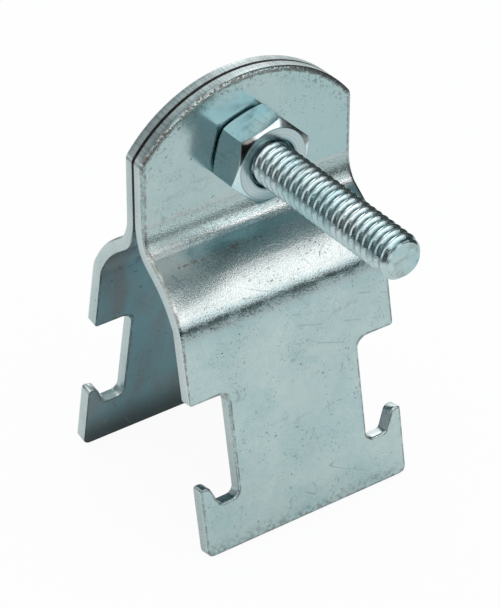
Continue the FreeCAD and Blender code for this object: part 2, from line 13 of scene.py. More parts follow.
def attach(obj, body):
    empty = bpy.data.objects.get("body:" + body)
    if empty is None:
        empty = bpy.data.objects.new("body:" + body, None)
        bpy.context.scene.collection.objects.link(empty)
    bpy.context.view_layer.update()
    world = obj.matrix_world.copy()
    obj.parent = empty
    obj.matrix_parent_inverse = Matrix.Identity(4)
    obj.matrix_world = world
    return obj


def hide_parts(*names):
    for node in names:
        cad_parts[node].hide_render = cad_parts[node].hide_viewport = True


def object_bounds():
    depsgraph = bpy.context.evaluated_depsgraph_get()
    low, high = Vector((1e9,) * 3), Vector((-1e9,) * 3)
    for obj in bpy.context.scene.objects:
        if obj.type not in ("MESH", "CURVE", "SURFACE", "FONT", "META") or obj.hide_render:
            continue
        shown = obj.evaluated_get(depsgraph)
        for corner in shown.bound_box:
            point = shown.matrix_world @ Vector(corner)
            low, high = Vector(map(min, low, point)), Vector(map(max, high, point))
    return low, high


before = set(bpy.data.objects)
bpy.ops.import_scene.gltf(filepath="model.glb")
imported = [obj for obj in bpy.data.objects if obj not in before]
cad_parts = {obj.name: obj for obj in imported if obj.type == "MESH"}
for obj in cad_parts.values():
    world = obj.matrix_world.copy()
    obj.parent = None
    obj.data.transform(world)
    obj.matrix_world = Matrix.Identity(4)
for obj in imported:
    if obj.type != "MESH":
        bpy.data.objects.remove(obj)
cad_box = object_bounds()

BMesh = bmesh.types.BMesh
BMVert = bmesh.types.BMVert
BMEdge = bmesh.types.BMEdge
BMFace = bmesh.types.BMFace
BMLayer = bmesh.types.BMLayerItem
Material = bpy.types.Material
Piece = bpy.types.Object

log = logging.getLogger("strut_pipe_clamp")

MM = 0.001   # all sizes below are millimetres, and Blender's unit is the metre
GAUGE = 1.9
EAR_GAP = 0.15
EAR_FACE = EAR_GAP / 2 + GAUGE
SCREW_HEIGHT = 29.15
HEX_FLATS = 11.11
NUT_HEIGHT = 5.56
NUT_FLAT_INSET = 0.405
NUT_CORNER_ANGLE = 30.0
SCREW_LENGTH = 37.1
HEX_SIDES = 6
SAME_PLACE = 1e-4    # vertices nearer than this are one
ON_CUT = 1e-5        # a vertex nearer than this to a cut lies on it
SLACK = 1e-6         # rounding error of a place along the blank


class Slot(Enum):
    """Material slots of the record."""

    SHEET = "zinc_plated_sheet"
    SCREW = "zinc_plated_screw"
    NUT = "zinc_plated_nut"


class Face(Enum):
    """Material index of a stamped half's faces."""

    ROLLED = 0
    SHEARED = 1


# Mesh helpers

def held(value: float) -> float:
    """Holds a number between 0 and 1."""
    return min(max(value, 0), 1)


def fade(distance: float, reach: float) -> float:
    """Returns 1 at no distance, less further off, and 0 from the reach on."""
    return max(1 - distance / reach, 0)


def whole(bm: BMesh) -> list:
    """Returns all the vertices, edges and faces of a shape."""
    return bm.verts[:] + bm.edges[:] + bm.faces[:]


def only(kind: type, items: Iterable) -> list:
    """Picks the vertices, the edges or the faces out of what an operator returns."""
    return [item for item in items if isinstance(item, kind)]


def sharp_edges(bm: BMesh, angle: float) -> list[BMEdge]:
    """Returns the edges that are sharper than an angle in degrees."""
    return [edge for edge in bm.edges
            if len(edge.link_faces) == 2 and edge.calc_face_angle() > math.radians(angle)]


def face_outwards(bm: BMesh) -> None:
    """Turns the faces of a closed shape outwards.

    Args:
        bm: the shape.
    """
    bmesh.ops.recalc_face_normals(bm, faces=bm.faces)
    if bm.calc_volume(signed=True) < 0:
        bmesh.ops.reverse_faces(bm, faces=bm.faces)


def bevel(bm: BMesh, items: list, width: float, segments: int, affect: str = "EDGES",
          clamp: bool = True) -> None:
    """Rounds edges or corners.

    Args:
        bm: the shape.
        items: the edges or vertices.
        width: how far the rounding reaches.
        segments: its facets.
        affect: EDGES or VERTICES.
        clamp: whether roundings stop where they meet.
    """
    bmesh.ops.bevel(bm, geom=items, offset=width, offset_type="OFFSET", segments=segments, profile=0.5,
                    affect=affect, material=-1, clamp_overlap=clamp)


def finish_piece(name: str, bm: BMesh, materials: Iterable[Material], smooth_angle: float) -> Piece:
    """Turns a bmesh in millimetres into an object at the origin, smooth except at sharp edges.

    Args:
        name: name of the object and its mesh.
        bm: the shape, in millimetres; it is freed.
        materials: materials in the order of the faces' material indices.
        smooth_angle: edges sharper than this, in degrees, stay hard.

    Returns:
        The new object.
    """
    bmesh.ops.scale(bm, vec=Vector((MM, MM, MM)), verts=bm.verts)
    for bm_face in bm.faces:
        bm_face.smooth = True
    for edge in sharp_edges(bm, smooth_angle):
        edge.smooth = False
    mesh = bpy.data.meshes.new(name)
    bm.to_mesh(mesh)
    bm.free()
    for material in materials:
        mesh.materials.append(material)
    piece = bpy.data.objects.new(name, mesh)
    bpy.context.scene.collection.objects.link(piece)
    return piece


def stand_for(piece: Piece, node: str) -> Piece:
    """Puts a piece in place of a node, and lets its large flat faces set the normals at their rims.

    Args:
        piece: the finished piece.
        node: name of the node and of the body that it rides on.

    Returns:
        The piece.
    """
    weighted = piece.modifiers.new("flat_faces_lead", "WEIGHTED_NORMAL")
    weighted.mode = "FACE_AREA"
    weighted.weight = 80
    weighted.keep_sharp = True
    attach(piece, node)
    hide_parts(node)
    return piece


# Stamped halves

@dataclass
class BentRun:
    """One stretch of the sheet, measured on its outer face.

    Attributes:
        start: place along the blank where the stretch begins, from the shoulder upwards.
        out: distance from the parting plane there.
        height: height above the strut's face there.
        heading: slope from upright there, in radians.
        turn: change of heading along the stretch, in radians; 0 on a flat.
        length: length of the stretch on the outer face.
    """

    start: float
    out: float
    height: float
    heading: float
    turn: float
    length: float

    def beyond(self, along: float) -> float:
        """Returns how far outside the stretch a place on the blank lies."""
        return max(self.start - along, along - self.start - self.length, 0)

    def at(self, along: float) -> tuple[float, float, float]:
        """Follows the stretch upwards.

        Args:
            along: distance from the start of the stretch.

        Returns:
            Distance from the parting plane, height, and heading in radians.
        """
        if not self.turn:
            return (self.out - along * math.sin(self.heading),
                    self.height + along * math.cos(self.heading), self.heading)
        radius = self.length / self.turn
        heading = self.heading + along / radius
        return (self.out + radius * (math.cos(heading) - math.cos(self.heading)),
                self.height + radius * (math.sin(heading) - math.sin(self.heading)), heading)


@dataclass
class StampedHalf:
    """One half of the clamp: rounded ear, saddle, and leg with a T shaped foot.

    The half is made as the press makes it: a flat blank is outlined and pierced, its rim is
    rolled over on the punch side, and then it is bent.
    """

    name: str
    facing: int
    slot_half: float = 10.8
    strap_half: float = 16.85
    ear_apex: float = 10.893
    ear_arc_rise: float = 8.4
    ear_arc_steps: int = 26
    ear_corner: float = 1.4
    ear_foot: float = 6.915
    foot_bends: tuple[tuple[float, float], ...] = ((6.2, 30.0), (2.6, 53.0))
    slope_flat: float = 2.342
    seat_radius: float = 16.3
    flare_angle: float = 31.0
    flare_flat: float = 1.10
    crease_bends: tuple[tuple[float, float], ...] = ((4.4, 15.0), (12.0, 10.5))
    hole_radius: float = 3.55
    hole_steps: int = 56
    hole_lip: float = 0.3
    hole_lip_drop: float = 0.14
    notch_corner: float = 1.7
    notch_floor: float = 15.85
    floor_corner: float = 1.1
    hook_height: float = 3.15
    hook_root: float = 2.85
    hook_tip: float = 1.45
    finger_root: float = 0.4
    finger_tip: float = 0.62
    foot_height: float = 7.45
    foot_corner: float = 1.1
    stamped_corner: float = 0.45
    corner_steps: int = 7
    roll_steps: tuple[tuple[float, float], ...] = (
        (0.0, 0.26), (0.05, 0.16), (0.13, 0.08), (0.25, 0.025), (0.40, 0.0))
    ear_roll_fade: float = 6.0
    ear_roll_growth: float = 2.1
    ear_roll_depth: float = 1.5
    neck_roll_reach: float = 2.6
    neck_roll_growth: float = 1.3
    neck_roll_lean: float = 0.7
    bend_roll_reach: float = 1.0
    bend_roll_fade: float = 1.5
    roll_start: float = 0.2
    side_roll: float = 0.3
    side_width: float = 0.6
    plain_roll: float = 0.22
    inner_rim: float = 0.10
    strain_reach: float = 0.9
    scuff_reach: float = 1.5
    crease_share: float = 0.25
    crease_reach: float = 1.7
    crease_fade: float = 3.4
    slope_fade: float = 2.6
    bend_step: float = 2.4
    runs: list[BentRun] = field(default_factory=list)

    def __post_init__(self) -> None:
        """Lays out the side view from the ear down, and stores it from the shoulder up."""
        out, height, heading = EAR_FACE, SCREW_HEIGHT - self.ear_foot, 0.0
        downward: list[tuple[float, float, float, float, float]] = []

        def bend(radius: float, degrees: float) -> None:
            """Adds a bend to a new heading, walking down.

            Args:
                radius: radius of the outer face.
                degrees: the new heading.
            """
            nonlocal out, height, heading
            turned = math.radians(degrees)
            side = 1.0 if turned > heading else -1.0
            length = radius * abs(turned - heading)
            out += side * radius * (math.cos(heading) - math.cos(turned))
            height += side * radius * (math.sin(heading) - math.sin(turned))
            downward.append((out, height, turned, heading - turned, length))
            heading = turned

        def flat(length: float) -> None:
            """Adds a straight stretch, walking down.

            Args:
                length: its length.
            """
            nonlocal out, height
            out += length * math.sin(heading)
            height -= length * math.cos(heading)
            downward.append((out, height, heading, 0.0, length))

        for radius, angle in self.foot_bends:
            bend(radius, angle)
        flat(self.slope_flat)
        bend(self.seat_radius, self.flare_angle)
        flat(self.flare_flat)
        for radius, angle in self.crease_bends:
            bend(radius, angle)
        flat(height / math.cos(heading))
        place = 0.0
        for out, height, heading, turn, length in reversed(downward):
            self.runs.append(BentRun(place, out, height, heading, turn, length))
            place += length
        self.runs.append(BentRun(place, EAR_FACE, SCREW_HEIGHT - self.ear_foot, 0.0, 0.0,
                                 self.ear_foot + self.ear_apex))

    @property
    def crease_place(self) -> float:
        """Place of the crease between saddle and leg along the blank."""
        crease = [run for run in self.runs if run.turn][1]
        return crease.start + crease.length * self.crease_share

    @property
    def saddle_top(self) -> float:
        """Place of the saddle's upper end along the blank."""
        seat = [run for run in self.runs if run.turn][2]
        return seat.start + seat.length

    @property
    def screw_place(self) -> float:
        """Place of the screw axis along the blank."""
        return self.runs[-1].start + self.ear_foot

    def outline(self) -> BMesh:
        """Draws the flat blank's outline as one face, with every corner rounded.

        Returns:
            A bmesh in the XY plane: X across the strap, Y along it from the shoulder upwards.
        """
        bm = bmesh.new()
        radius = (self.strap_half ** 2 + self.ear_arc_rise ** 2) / (2 * self.ear_arc_rise)
        apex = self.screw_place + self.ear_apex
        sweep = math.asin(self.strap_half / radius)
        top = bm.verts.new((0, apex, 0))
        spun = bmesh.ops.spin(bm, geom=[top], cent=(0, apex - radius, 0), axis=(0, 0, 1),
                              angle=-sweep, steps=self.ear_arc_steps, use_duplicate=False)
        spring = only(BMVert, spun["geom_last"])[0]
        floor = -self.notch_floor
        tip = floor + self.hook_height
        foot = floor - self.foot_height
        corners = [
            (self.strap_half, 0, self.stamped_corner),
            (self.slot_half, 0, self.notch_corner),
            (self.slot_half, floor, self.floor_corner),
            (self.strap_half - self.hook_root, floor, self.finger_root),
            (self.strap_half - self.hook_tip, tip, self.finger_tip),
            (self.strap_half, tip, self.stamped_corner),
            (self.strap_half, foot, self.foot_corner),
            (0, foot, 0),
        ]
        chain = [spring]
        rounds: dict[float, list[BMVert]] = {}
        for across, along, rounding in corners:
            vert = bm.verts.new((across, along, 0))
            bm.edges.new((chain[-1], vert))
            chain.append(vert)
            if rounding:
                rounds.setdefault(rounding, []).append(vert)
        bm.edges.new((chain[-1], top))
        bmesh.ops.contextual_create(bm, geom=bm.edges[:])
        ear_turn = math.pi / 2 - sweep
        rounds[self.ear_corner * math.tan(ear_turn / 2)] = [spring]
        for offset, verts in rounds.items():
            bevel(bm, verts, offset, self.corner_steps, "VERTICES")
        bmesh.ops.mirror(bm, geom=whole(bm), matrix=Matrix.Identity(4), merge_dist=SAME_PLACE, axis="X")
        seam = [edge for edge in bm.edges
                if len(edge.link_faces) == 2 and all(abs(vert.co.x) < SAME_PLACE for vert in edge.verts)]
        bmesh.ops.dissolve_edges(bm, edges=seam, use_verts=False)
        bmesh.ops.recalc_face_normals(bm, faces=bm.faces)
        if bm.faces[:][0].normal.z < 0:
            bmesh.ops.reverse_faces(bm, faces=bm.faces)
        return bm

    def roll_rim(self, bm: BMesh, drop: BMLayer) -> BMFace:
        """Insets the outline in steps and notes how deep the rim is rolled over at each step.

        Args:
            bm: the outline as one face.
            drop: float layer of the vertices that takes the depth.

        Returns:
            The face inside the last step.
        """
        inner = bm.faces[:][0]
        ear_base = self.runs[-1].start
        bend_base = ear_base - sum(run.length for run in self.runs[-3:-1])
        centre = Vector((0, self.screw_place, 0))

        def on_ear(vert: BMVert) -> float:
            """Returns how far up the ear a vertex lies, from 0 at its foot to 1."""
            return held((vert.co.y - ear_base) / self.ear_roll_fade)

        def depth_at(vert: BMVert) -> float:
            """Returns the share of the roll's depth, which is slight from the foot bend to the shoulder.

            Args:
                vert: a vertex of the rim.

            Returns:
                The share, more than 1 up the ear.
            """
            side = abs(vert.co.x) >= self.strap_half - self.side_width
            below = held(-vert.co.y - self.roll_start) * (self.side_roll if side else 1)
            share = max(held((vert.co.y - bend_base + self.bend_roll_reach) / self.bend_roll_fade), below)
            return self.plain_roll + (1 - self.plain_roll) * share + (self.ear_roll_depth - 1) * on_ear(vert)

        for vert in bm.verts:
            vert[drop] = self.roll_steps[0][1] * depth_at(vert)
        for (before, _), (inset, depth) in zip(self.roll_steps, self.roll_steps[1:]):
            step = inset - before
            bmesh.ops.inset_region(bm, faces=[inner], thickness=step, use_boundary=True, use_even_offset=True)
            for vert in inner.verts:
                vert[drop] = depth * depth_at(vert)
                toward = (centre - vert.co).normalized()
                vert.co += toward * step * (self.ear_roll_growth - 1) * on_ear(vert)
                neck = Vector((math.copysign(self.slot_half, vert.co.x), 0, 0))
                near = fade((vert.co - neck).length, self.neck_roll_reach)
                into = Vector((-math.copysign(self.neck_roll_lean, vert.co.x), self.neck_roll_lean, 0))
                vert.co += into * step * self.neck_roll_growth * near
        return inner

    def pierce(self, bm: BMesh, inner: BMFace, drop: BMLayer) -> None:
        """Opens the screw's hole in the ear and fills the face around it.

        Args:
            bm: the blank.
            inner: the face that is replaced.
            drop: float layer of the vertices that holds the depth of the rolled rim.
        """
        rim_edges = list(inner.edges)
        bmesh.ops.delete(bm, geom=[inner], context="FACES_ONLY")
        lip_radius = self.hole_radius + self.hole_lip
        hole = bmesh.ops.create_circle(bm, cap_ends=False, radius=lip_radius, segments=self.hole_steps,
                                       matrix=Matrix.Translation((0, self.screw_place, 0)))
        hole_edges = list({edge for vert in hole["verts"] for edge in vert.link_edges})
        bmesh.ops.triangle_fill(bm, use_beauty=True, use_dissolve=False, edges=rim_edges + hole_edges,
                                normal=Vector((0, 0, 1)))
        lip = only(BMVert, bmesh.ops.extrude_edge_only(bm, edges=hole_edges)["geom"])
        bmesh.ops.scale(bm, vec=Vector((1, 1, 1)) * (self.hole_radius / lip_radius), verts=lip,
                        space=Matrix.Translation((0, -self.screw_place, 0)))
        for vert in lip:
            vert[drop] = self.hole_lip_drop

    def thicken(self, bm: BMesh, drop: BMLayer) -> None:
        """Gives the sheet its thickness, lowers the rolled rim and marks the sheared walls.

        Args:
            bm: the blank's outer face; it gets the inner face and the walls.
            drop: float layer of the vertices that holds the depth of the rolled rim.
        """
        outer = set(bm.verts)
        extruded = bmesh.ops.extrude_face_region(bm, geom=bm.faces[:], use_keep_orig=True)
        for vert in outer:
            vert.co.z = -vert[drop]
        for vert in only(BMVert, extruded["geom"]):
            vert.co.z = -GAUGE
        rim = []
        for bm_face in bm.faces:
            on_outer = sum(vert in outer for vert in bm_face.verts)
            wall = 0 < on_outer < len(bm_face.verts)
            bm_face.material_index = Face.SHEARED.value if wall else Face.ROLLED.value
            if wall:
                rim += [edge for edge in bm_face.edges if not any(vert in outer for vert in edge.verts)]
        bmesh.ops.recalc_face_normals(bm, faces=bm.faces)
        bevel(bm, rim, self.inner_rim, segments=2, clamp=False)

    def strain_at(self, along: float) -> float:
        """Tells how much the sheet was stretched by bending.

        Args:
            along: place along the blank.

        Returns:
            The strain, from 0 to 1 at the tightest bend.
        """
        strain = 0.0
        for run in self.runs:
            if run.turn:
                tightness = math.sqrt(min(self.crease_bends[0][0] * abs(run.turn) / run.length, 1))
                strain = max(strain, tightness * fade(run.beyond(along), self.strain_reach))
        return strain

    def bend_blank(self, bm: BMesh) -> None:
        """Cuts the blank across at every bend line, keeps its flat layout as a UV map, and bends it.

        Args:
            bm: the flat blank with its thickness.
        """
        cuts = {self.saddle_top - self.slope_fade, self.crease_place - self.crease_fade,
                self.crease_place, self.crease_place + self.crease_reach}
        for run in self.runs:
            pieces = max(1, round(abs(math.degrees(run.turn)) / self.bend_step))
            cuts.update(run.start + run.length * step / pieces for step in range(pieces + 1))
            if run.turn:
                cuts.update((run.start - self.strain_reach, run.start + run.length + self.strain_reach))
        for place in sorted(cuts):
            bmesh.ops.bisect_plane(bm, geom=whole(bm), dist=ON_CUT, plane_co=(0, place, 0),
                                   plane_no=(0, 1, 0))
        layout = bm.loops.layers.uv.new("blank")
        for bm_face in bm.faces:
            for loop in bm_face.loops:
                loop[layout].uv = (loop.vert.co.x * MM, loop.vert.co.y * MM)
        names = ("depth", "strain", "scuff", "crease", "slope")
        layers = [bm.verts.layers.float.new(name) for name in names]
        slope_run = next(run for run in reversed(self.runs[:-1]) if not run.turn)
        for vert in bm.verts:
            across, along, depth = vert.co.x, vert.co.y, -vert.co.z
            above = along - self.crease_place
            marks = (depth / GAUGE, self.strain_at(along),
                     fade(abs(along - self.saddle_top), self.scuff_reach),
                     fade(above, self.crease_reach) if above > 0 else fade(-above, self.crease_fade),
                     fade(slope_run.beyond(along), self.slope_fade))
            for layer, mark in zip(layers, marks):
                vert[layer] = mark
            run = next((item for item in reversed(self.runs) if along >= item.start - SLACK), self.runs[0])
            out, height, heading = run.at(along - run.start)
            out -= depth * math.cos(heading)
            height -= depth * math.sin(heading)
            vert.co = Vector((self.facing * across, self.facing * out, height))

    def build(self, materials: Iterable[Material]) -> Piece:
        """Makes the half and puts it in place of its node.

        Args:
            materials: finish of the rolled faces and of the sheared edges.

        Returns:
            The finished object.
        """
        bm = self.outline()
        drop = bm.verts.layers.float.new("drop")
        self.pierce(bm, self.roll_rim(bm, drop), drop)
        self.thicken(bm, drop)
        self.bend_blank(bm)
        face_outwards(bm)
        piece = finish_piece(f"{self.name}_stamping", bm, materials, smooth_angle=32)
        return stand_for(piece, self.name)


# Thread

@dataclass
class Thread:
    """A right-hand unified thread about the screw's axis.

    Attributes:
        crest_radius: radius at the crests.
        root_radius: radius at the roots.
        pitch: travel for one turn.
        steps: points round one turn.
        flank: shares of the pitch and of the depth, from a root up to a crest.
    """

    crest_radius: float = 3.12
    root_radius: float = 2.44
    pitch: float = 1.27
    steps: int = 56
    flank: tuple[tuple[float, float], ...] = (
        (0.0, 0.0), (0.05, 0.02), (0.10, 0.11), (0.29, 0.66),
        (0.34, 0.79), (0.39, 0.89), (0.44, 0.965), (0.5, 1.0))

    def profile(self) -> list[tuple[float, float]]:
        """Draws one pitch of the thread.

        Returns:
            Travel and radius of each point, root to root.
        """
        shape = [*self.flank, *((1 - travel, rise) for travel, rise in reversed(self.flank[:-1]))]
        depth = self.crest_radius - self.root_radius
        return [(travel * self.pitch, self.root_radius + rise * depth) for travel, rise in shape]

    def surface(self, bm: BMesh, first: float, turns: int) -> None:
        """Spins the profile into a helical surface about +Z.

        Args:
            bm: the bmesh that takes the surface.
            first: place along Z where the first turn starts.
            turns: number of whole turns.
        """
        chain = [bm.verts.new((radius, 0, first + travel)) for travel, radius in self.profile()]
        edges = [bm.edges.new(pair) for pair in zip(chain, chain[1:])]
        bmesh.ops.spin(bm, geom=chain + edges, cent=(0, 0, 0), axis=(0, 0, 1),
                       dvec=(0, 0, self.pitch / self.steps), angle=2 * math.pi, steps=self.steps,
                       use_duplicate=False)
        one_turn = whole(bm)
        for turn in range(1, turns):
            copy = bmesh.ops.duplicate(bm, geom=one_turn)
            bmesh.ops.translate(bm, vec=Vector((0, 0, turn * self.pitch)), verts=only(BMVert, copy["geom"]))
        bmesh.ops.remove_doubles(bm, verts=bm.verts, dist=1e-3)


def trim(bm: BMesh, place: float, outward: int, closed: bool) -> None:
    """Cuts a shape square to Z.

    Args:
        bm: the shape.
        place: place of the cut along Z.
        outward: 1 if what lies above the cut goes, -1 if what lies below it goes.
        closed: whether the cut is closed by a flat face.
    """
    cut = bmesh.ops.bisect_plane(bm, geom=whole(bm), dist=ON_CUT, plane_co=(0, 0, place),
                                 plane_no=(0, 0, outward), clear_outer=True)
    if closed:
        filled = bmesh.ops.triangle_fill(bm, use_beauty=True, use_dissolve=False,
                                         edges=only(BMEdge, cut["geom_cut"]), normal=Vector((0, 0, outward)))
        cap = set(only(BMFace, filled["geom"]))
        for edge in {edge for bm_face in cap for edge in bm_face.edges}:
            edge.smooth = all(bm_face in cap for bm_face in edge.link_faces)


def subtract(bm: BMesh, cutter_bm: BMesh) -> BMesh:
    """Cuts one closed shape out of another.

    Args:
        bm: the shape; it is freed.
        cutter_bm: what is taken away; it is freed.

    Returns:
        The rest of the shape.
    """
    objects = []
    for name, source in (("blank", bm), ("cutter", cutter_bm)):
        mesh = bpy.data.meshes.new(name)
        source.to_mesh(mesh)
        source.free()
        objects.append(bpy.data.objects.new(name, mesh))
        bpy.context.scene.collection.objects.link(objects[-1])
    blank, cutter = objects
    cut = blank.modifiers.new("cut", "BOOLEAN")
    cut.operation = "DIFFERENCE"
    cut.solver = "EXACT"
    cut.object = cutter
    result = bpy.data.meshes.new_from_object(blank.evaluated_get(bpy.context.evaluated_depsgraph_get()))
    rest = bmesh.new()
    rest.from_mesh(result)
    for mesh in (result, blank.data, cutter.data):
        bpy.data.meshes.remove(mesh)
    return rest


def seat_on_axis(bm: BMesh, bearing: float) -> None:
    """Turns a shape's own +Z to -Y and moves it onto the screw's axis.

    Args:
        bm: the shape.
        bearing: place of its zero along Y.
    """
    turn = Matrix.Rotation(math.radians(90), 4, "X")
    bmesh.ops.transform(bm, matrix=Matrix.Translation((0, bearing, SCREW_HEIGHT)) @ turn, verts=bm.verts)


# Hexagons

@dataclass
class HexCrown:
    """Hexagonal prism whose corners are turned down to a flat circle.

    Attributes:
        inset: how far the flat circle lies inside the six sides.
        angle: slope of the turned corners, in degrees.
        clock: turn of the corners about the axis, in degrees.
        side_steps: points along each of the six sides.
    """

    inset: float
    angle: float
    clock: float
    side_steps: int = 18

    @property
    def flat_radius(self) -> float:
        """Radius of the flat circle."""
        return HEX_FLATS / 2 - self.inset

    def ring(self, bm: BMesh) -> list[BMVert]:
        """Starts a hexagon with a circle of vertices, one of them on each corner.

        Args:
            bm: the bmesh that takes the circle.

        Returns:
            The circle's vertices.
        """
        turn = Matrix.Rotation(math.radians(self.clock), 4, "Z")
        return bmesh.ops.create_circle(bm, cap_ends=False, radius=self.flat_radius,
                                       segments=HEX_SIDES * self.side_steps, matrix=turn)["verts"]

    def shape_side(self, verts: Iterable[BMVert], level: float, rises: int) -> None:
        """Moves a ring out to the six sides, and along Z to where the turned corners meet them.

        Args:
            verts: the ring.
            level: place of the flat circle along Z.
            rises: 1 if the hexagon's material lies above the circle, -1 if below, 0 for a square end.
        """
        slope = math.tan(math.radians(self.angle))
        half_side = math.pi / HEX_SIDES
        for vert in verts:
            angle = math.atan2(vert.co.y, vert.co.x)
            within = (angle - math.radians(self.clock)) % (2 * half_side) - half_side
            reach = HEX_FLATS / 2 / math.cos(within)
            vert.co = Vector((reach * math.cos(angle), reach * math.sin(angle),
                              level + rises * (reach - self.flat_radius) * slope))


def loop_edges(verts: Iterable[BMVert]) -> list[BMEdge]:
    """Returns the edges whose two ends both lie in a set of vertices."""
    chosen = set(verts)
    return [edge for edge in {edge for vert in chosen for edge in vert.link_edges}
            if all(vert in chosen for vert in edge.verts)]


def extrude_ring(bm: BMesh, verts: Iterable[BMVert]) -> list[BMVert]:
    """Extrudes a closed ring in place and returns the new ring."""
    return only(BMVert, bmesh.ops.extrude_edge_only(bm, edges=loop_edges(verts))["geom"])


def set_ring(verts: Iterable[BMVert], radius: float, level: float) -> None:
    """Moves a ring to a radius about Z and to a level."""
    for vert in verts:
        vert.co = Vector((vert.co.x, vert.co.y, 0)).normalized() * radius + Vector((0, 0, level))


def extrude_rings(bm: BMesh, ring: list[BMVert], *steps: tuple[float, float]) -> list[BMVert]:
    """Extrudes a closed ring to one radius and level after another.

    Args:
        bm: the bmesh that holds the ring.
        ring: the ring.
        steps: radius about Z and level of each new ring.

    Returns:
        The last ring.
    """
    for radius, level in steps:
        ring = extrude_ring(bm, ring)
        set_ring(ring, radius, level)
    return ring


@dataclass
class HexNut:
    """The nut on the front ear, with countersunk mouths."""

    bore_radius: float = 3.165
    mouth_radius: float = 3.56
    mouth_depth: float = 0.45
    edge_rounding: float = 0.06
    rounded_from: float = 24.0
    crown: HexCrown = field(
        default_factory=lambda: HexCrown(NUT_FLAT_INSET, NUT_CORNER_ANGLE, clock=15.8))

    def build(self, material: Material) -> Piece:
        """Makes the nut and puts it in place of its node.

        Args:
            material: the nut's finish.

        Returns:
            The finished object.
        """
        bm = bmesh.new()
        flat = self.crown.flat_radius
        ring = self.crown.ring(bm)
        set_ring(ring, self.bore_radius, self.mouth_depth)
        ring = extrude_ring(bm, extrude_rings(bm, ring, (self.mouth_radius, 0.0), (flat, 0.0)))
        self.crown.shape_side(ring, 0.0, 1)
        ring = extrude_ring(bm, ring)
        self.crown.shape_side(ring, NUT_HEIGHT, -1)
        extrude_rings(bm, ring, (flat, NUT_HEIGHT), (self.mouth_radius, NUT_HEIGHT),
                      (self.bore_radius, NUT_HEIGHT - self.mouth_depth))
        bmesh.ops.bridge_loops(bm, edges=[edge for edge in bm.edges if len(edge.link_faces) == 1])
        face_outwards(bm)
        bevel(bm, sharp_edges(bm, self.rounded_from), self.edge_rounding, segments=2)
        seat_on_axis(bm, -EAR_FACE)
        piece = finish_piece("hex_nut_turned", bm, [material], smooth_angle=28)
        return stand_for(piece, "hex_nut")


@dataclass
class ClampScrew:
    """The screw: a slotted hex head behind the rear ear and a thread through both ears."""

    end_radius: float = 2.42
    end_length: float = 0.75
    head_height: float = 4.8
    head_centre: float = 0.8
    slot_length: float = 16.0
    slot_width: float = 1.75
    slot_depth: float = 2.2
    slot_clock: float = 20.0
    edge_rounding: float = 0.07
    rounded_from: float = 28.0
    turns_cut_off: float = 1.5
    thread: Thread = field(default_factory=Thread)
    crown: HexCrown = field(default_factory=lambda: HexCrown(inset=0.355, angle=25, clock=20))

    def shank(self, bm: BMesh) -> None:
        """Adds the threaded shank, from the head's bearing face at zero to its chamfered end.

        Args:
            bm: the bmesh that takes the shank; it stays open at zero.
        """
        thread = self.thread
        first = -self.turns_cut_off * thread.pitch
        thread.surface(bm, first, math.ceil((SCREW_LENGTH - first) / thread.pitch) + 1)
        root = bm.verts.layers.float.new("root")
        rise = thread.crest_radius - thread.root_radius
        for vert in bm.verts:
            radius = math.hypot(vert.co.x, vert.co.y)
            from_end = max(SCREW_LENGTH - vert.co.z, 0)
            vert[root] = (1 - (radius - thread.root_radius) / rise) * min(from_end / self.end_length, 1)
            limit = self.end_radius + from_end * (thread.crest_radius - self.end_radius) / self.end_length
            if radius > limit:
                vert.co.x *= limit / radius
                vert.co.y *= limit / radius
        trim(bm, SCREW_LENGTH, 1, closed=True)
        trim(bm, 0, -1, closed=False)

    def head(self) -> BMesh:
        """Makes the slotted hex head below zero, open at its bearing face.

        Returns:
            A bmesh about +Z.
        """
        bm = bmesh.new()
        centre = self.crown.ring(bm)
        set_ring(centre, self.head_centre, -self.head_height)
        ring = extrude_ring(bm, extrude_rings(bm, centre, (self.crown.flat_radius, -self.head_height)))
        self.crown.shape_side(ring, -self.head_height, 1)
        ring = extrude_ring(bm, ring)
        self.crown.shape_side(ring, 0, 0)
        for verts in (centre, ring):
            bmesh.ops.contextual_create(bm, geom=loop_edges(verts))
        bmesh.ops.recalc_face_normals(bm, faces=bm.faces)
        cutter = bmesh.new()
        bmesh.ops.create_cube(cutter, size=1)
        bmesh.ops.scale(cutter, vec=Vector((self.slot_length, self.slot_width, 2 * self.slot_depth)),
                        verts=cutter.verts)
        bmesh.ops.rotate(cutter, cent=(0, 0, 0), verts=cutter.verts,
                         matrix=Matrix.Rotation(math.radians(self.slot_clock), 3, "Z"))
        bmesh.ops.translate(cutter, vec=Vector((0, 0, -self.head_height)), verts=cutter.verts)
        bm = subtract(bm, cutter)
        bevel(bm, sharp_edges(bm, self.rounded_from), self.edge_rounding, segments=2)
        under = [bm_face for bm_face in bm.faces if abs(bm_face.calc_center_median().z) < SAME_PLACE]
        bmesh.ops.delete(bm, geom=under, context="FACES_ONLY")
        return bm

    def build(self, material: Material) -> Piece:
        """Makes the screw and puts it in place of its node.

        Args:
            material: the screw's finish.

        Returns:
            The finished object.
        """
        bm = bmesh.new()
        self.shank(bm)
        head_mesh = bpy.data.meshes.new("head")
        head_bm = self.head()
        head_bm.to_mesh(head_mesh)
        head_bm.free()
        bm.from_mesh(head_mesh)
        bpy.data.meshes.remove(head_mesh)
        bearing = [edge for edge in bm.edges if len(edge.link_faces) == 1]
        bmesh.ops.triangle_fill(bm, use_beauty=True, use_dissolve=False, edges=bearing,
                                normal=Vector((0, 0, 1)))
        face_outwards(bm)
        seat_on_axis(bm, EAR_FACE)
        piece = finish_piece("clamp_screw_rolled", bm, [material], smooth_angle=32)
        return stand_for(piece, "clamp_screw")


# Finishes

Triple = tuple[float, float, float]
Colour = Triple
Socket = bpy.types.NodeSocket
Value = Socket | float
Paint = Socket | Colour
Tree = bpy.types.NodeTree
Groups = dict[str, Tree]

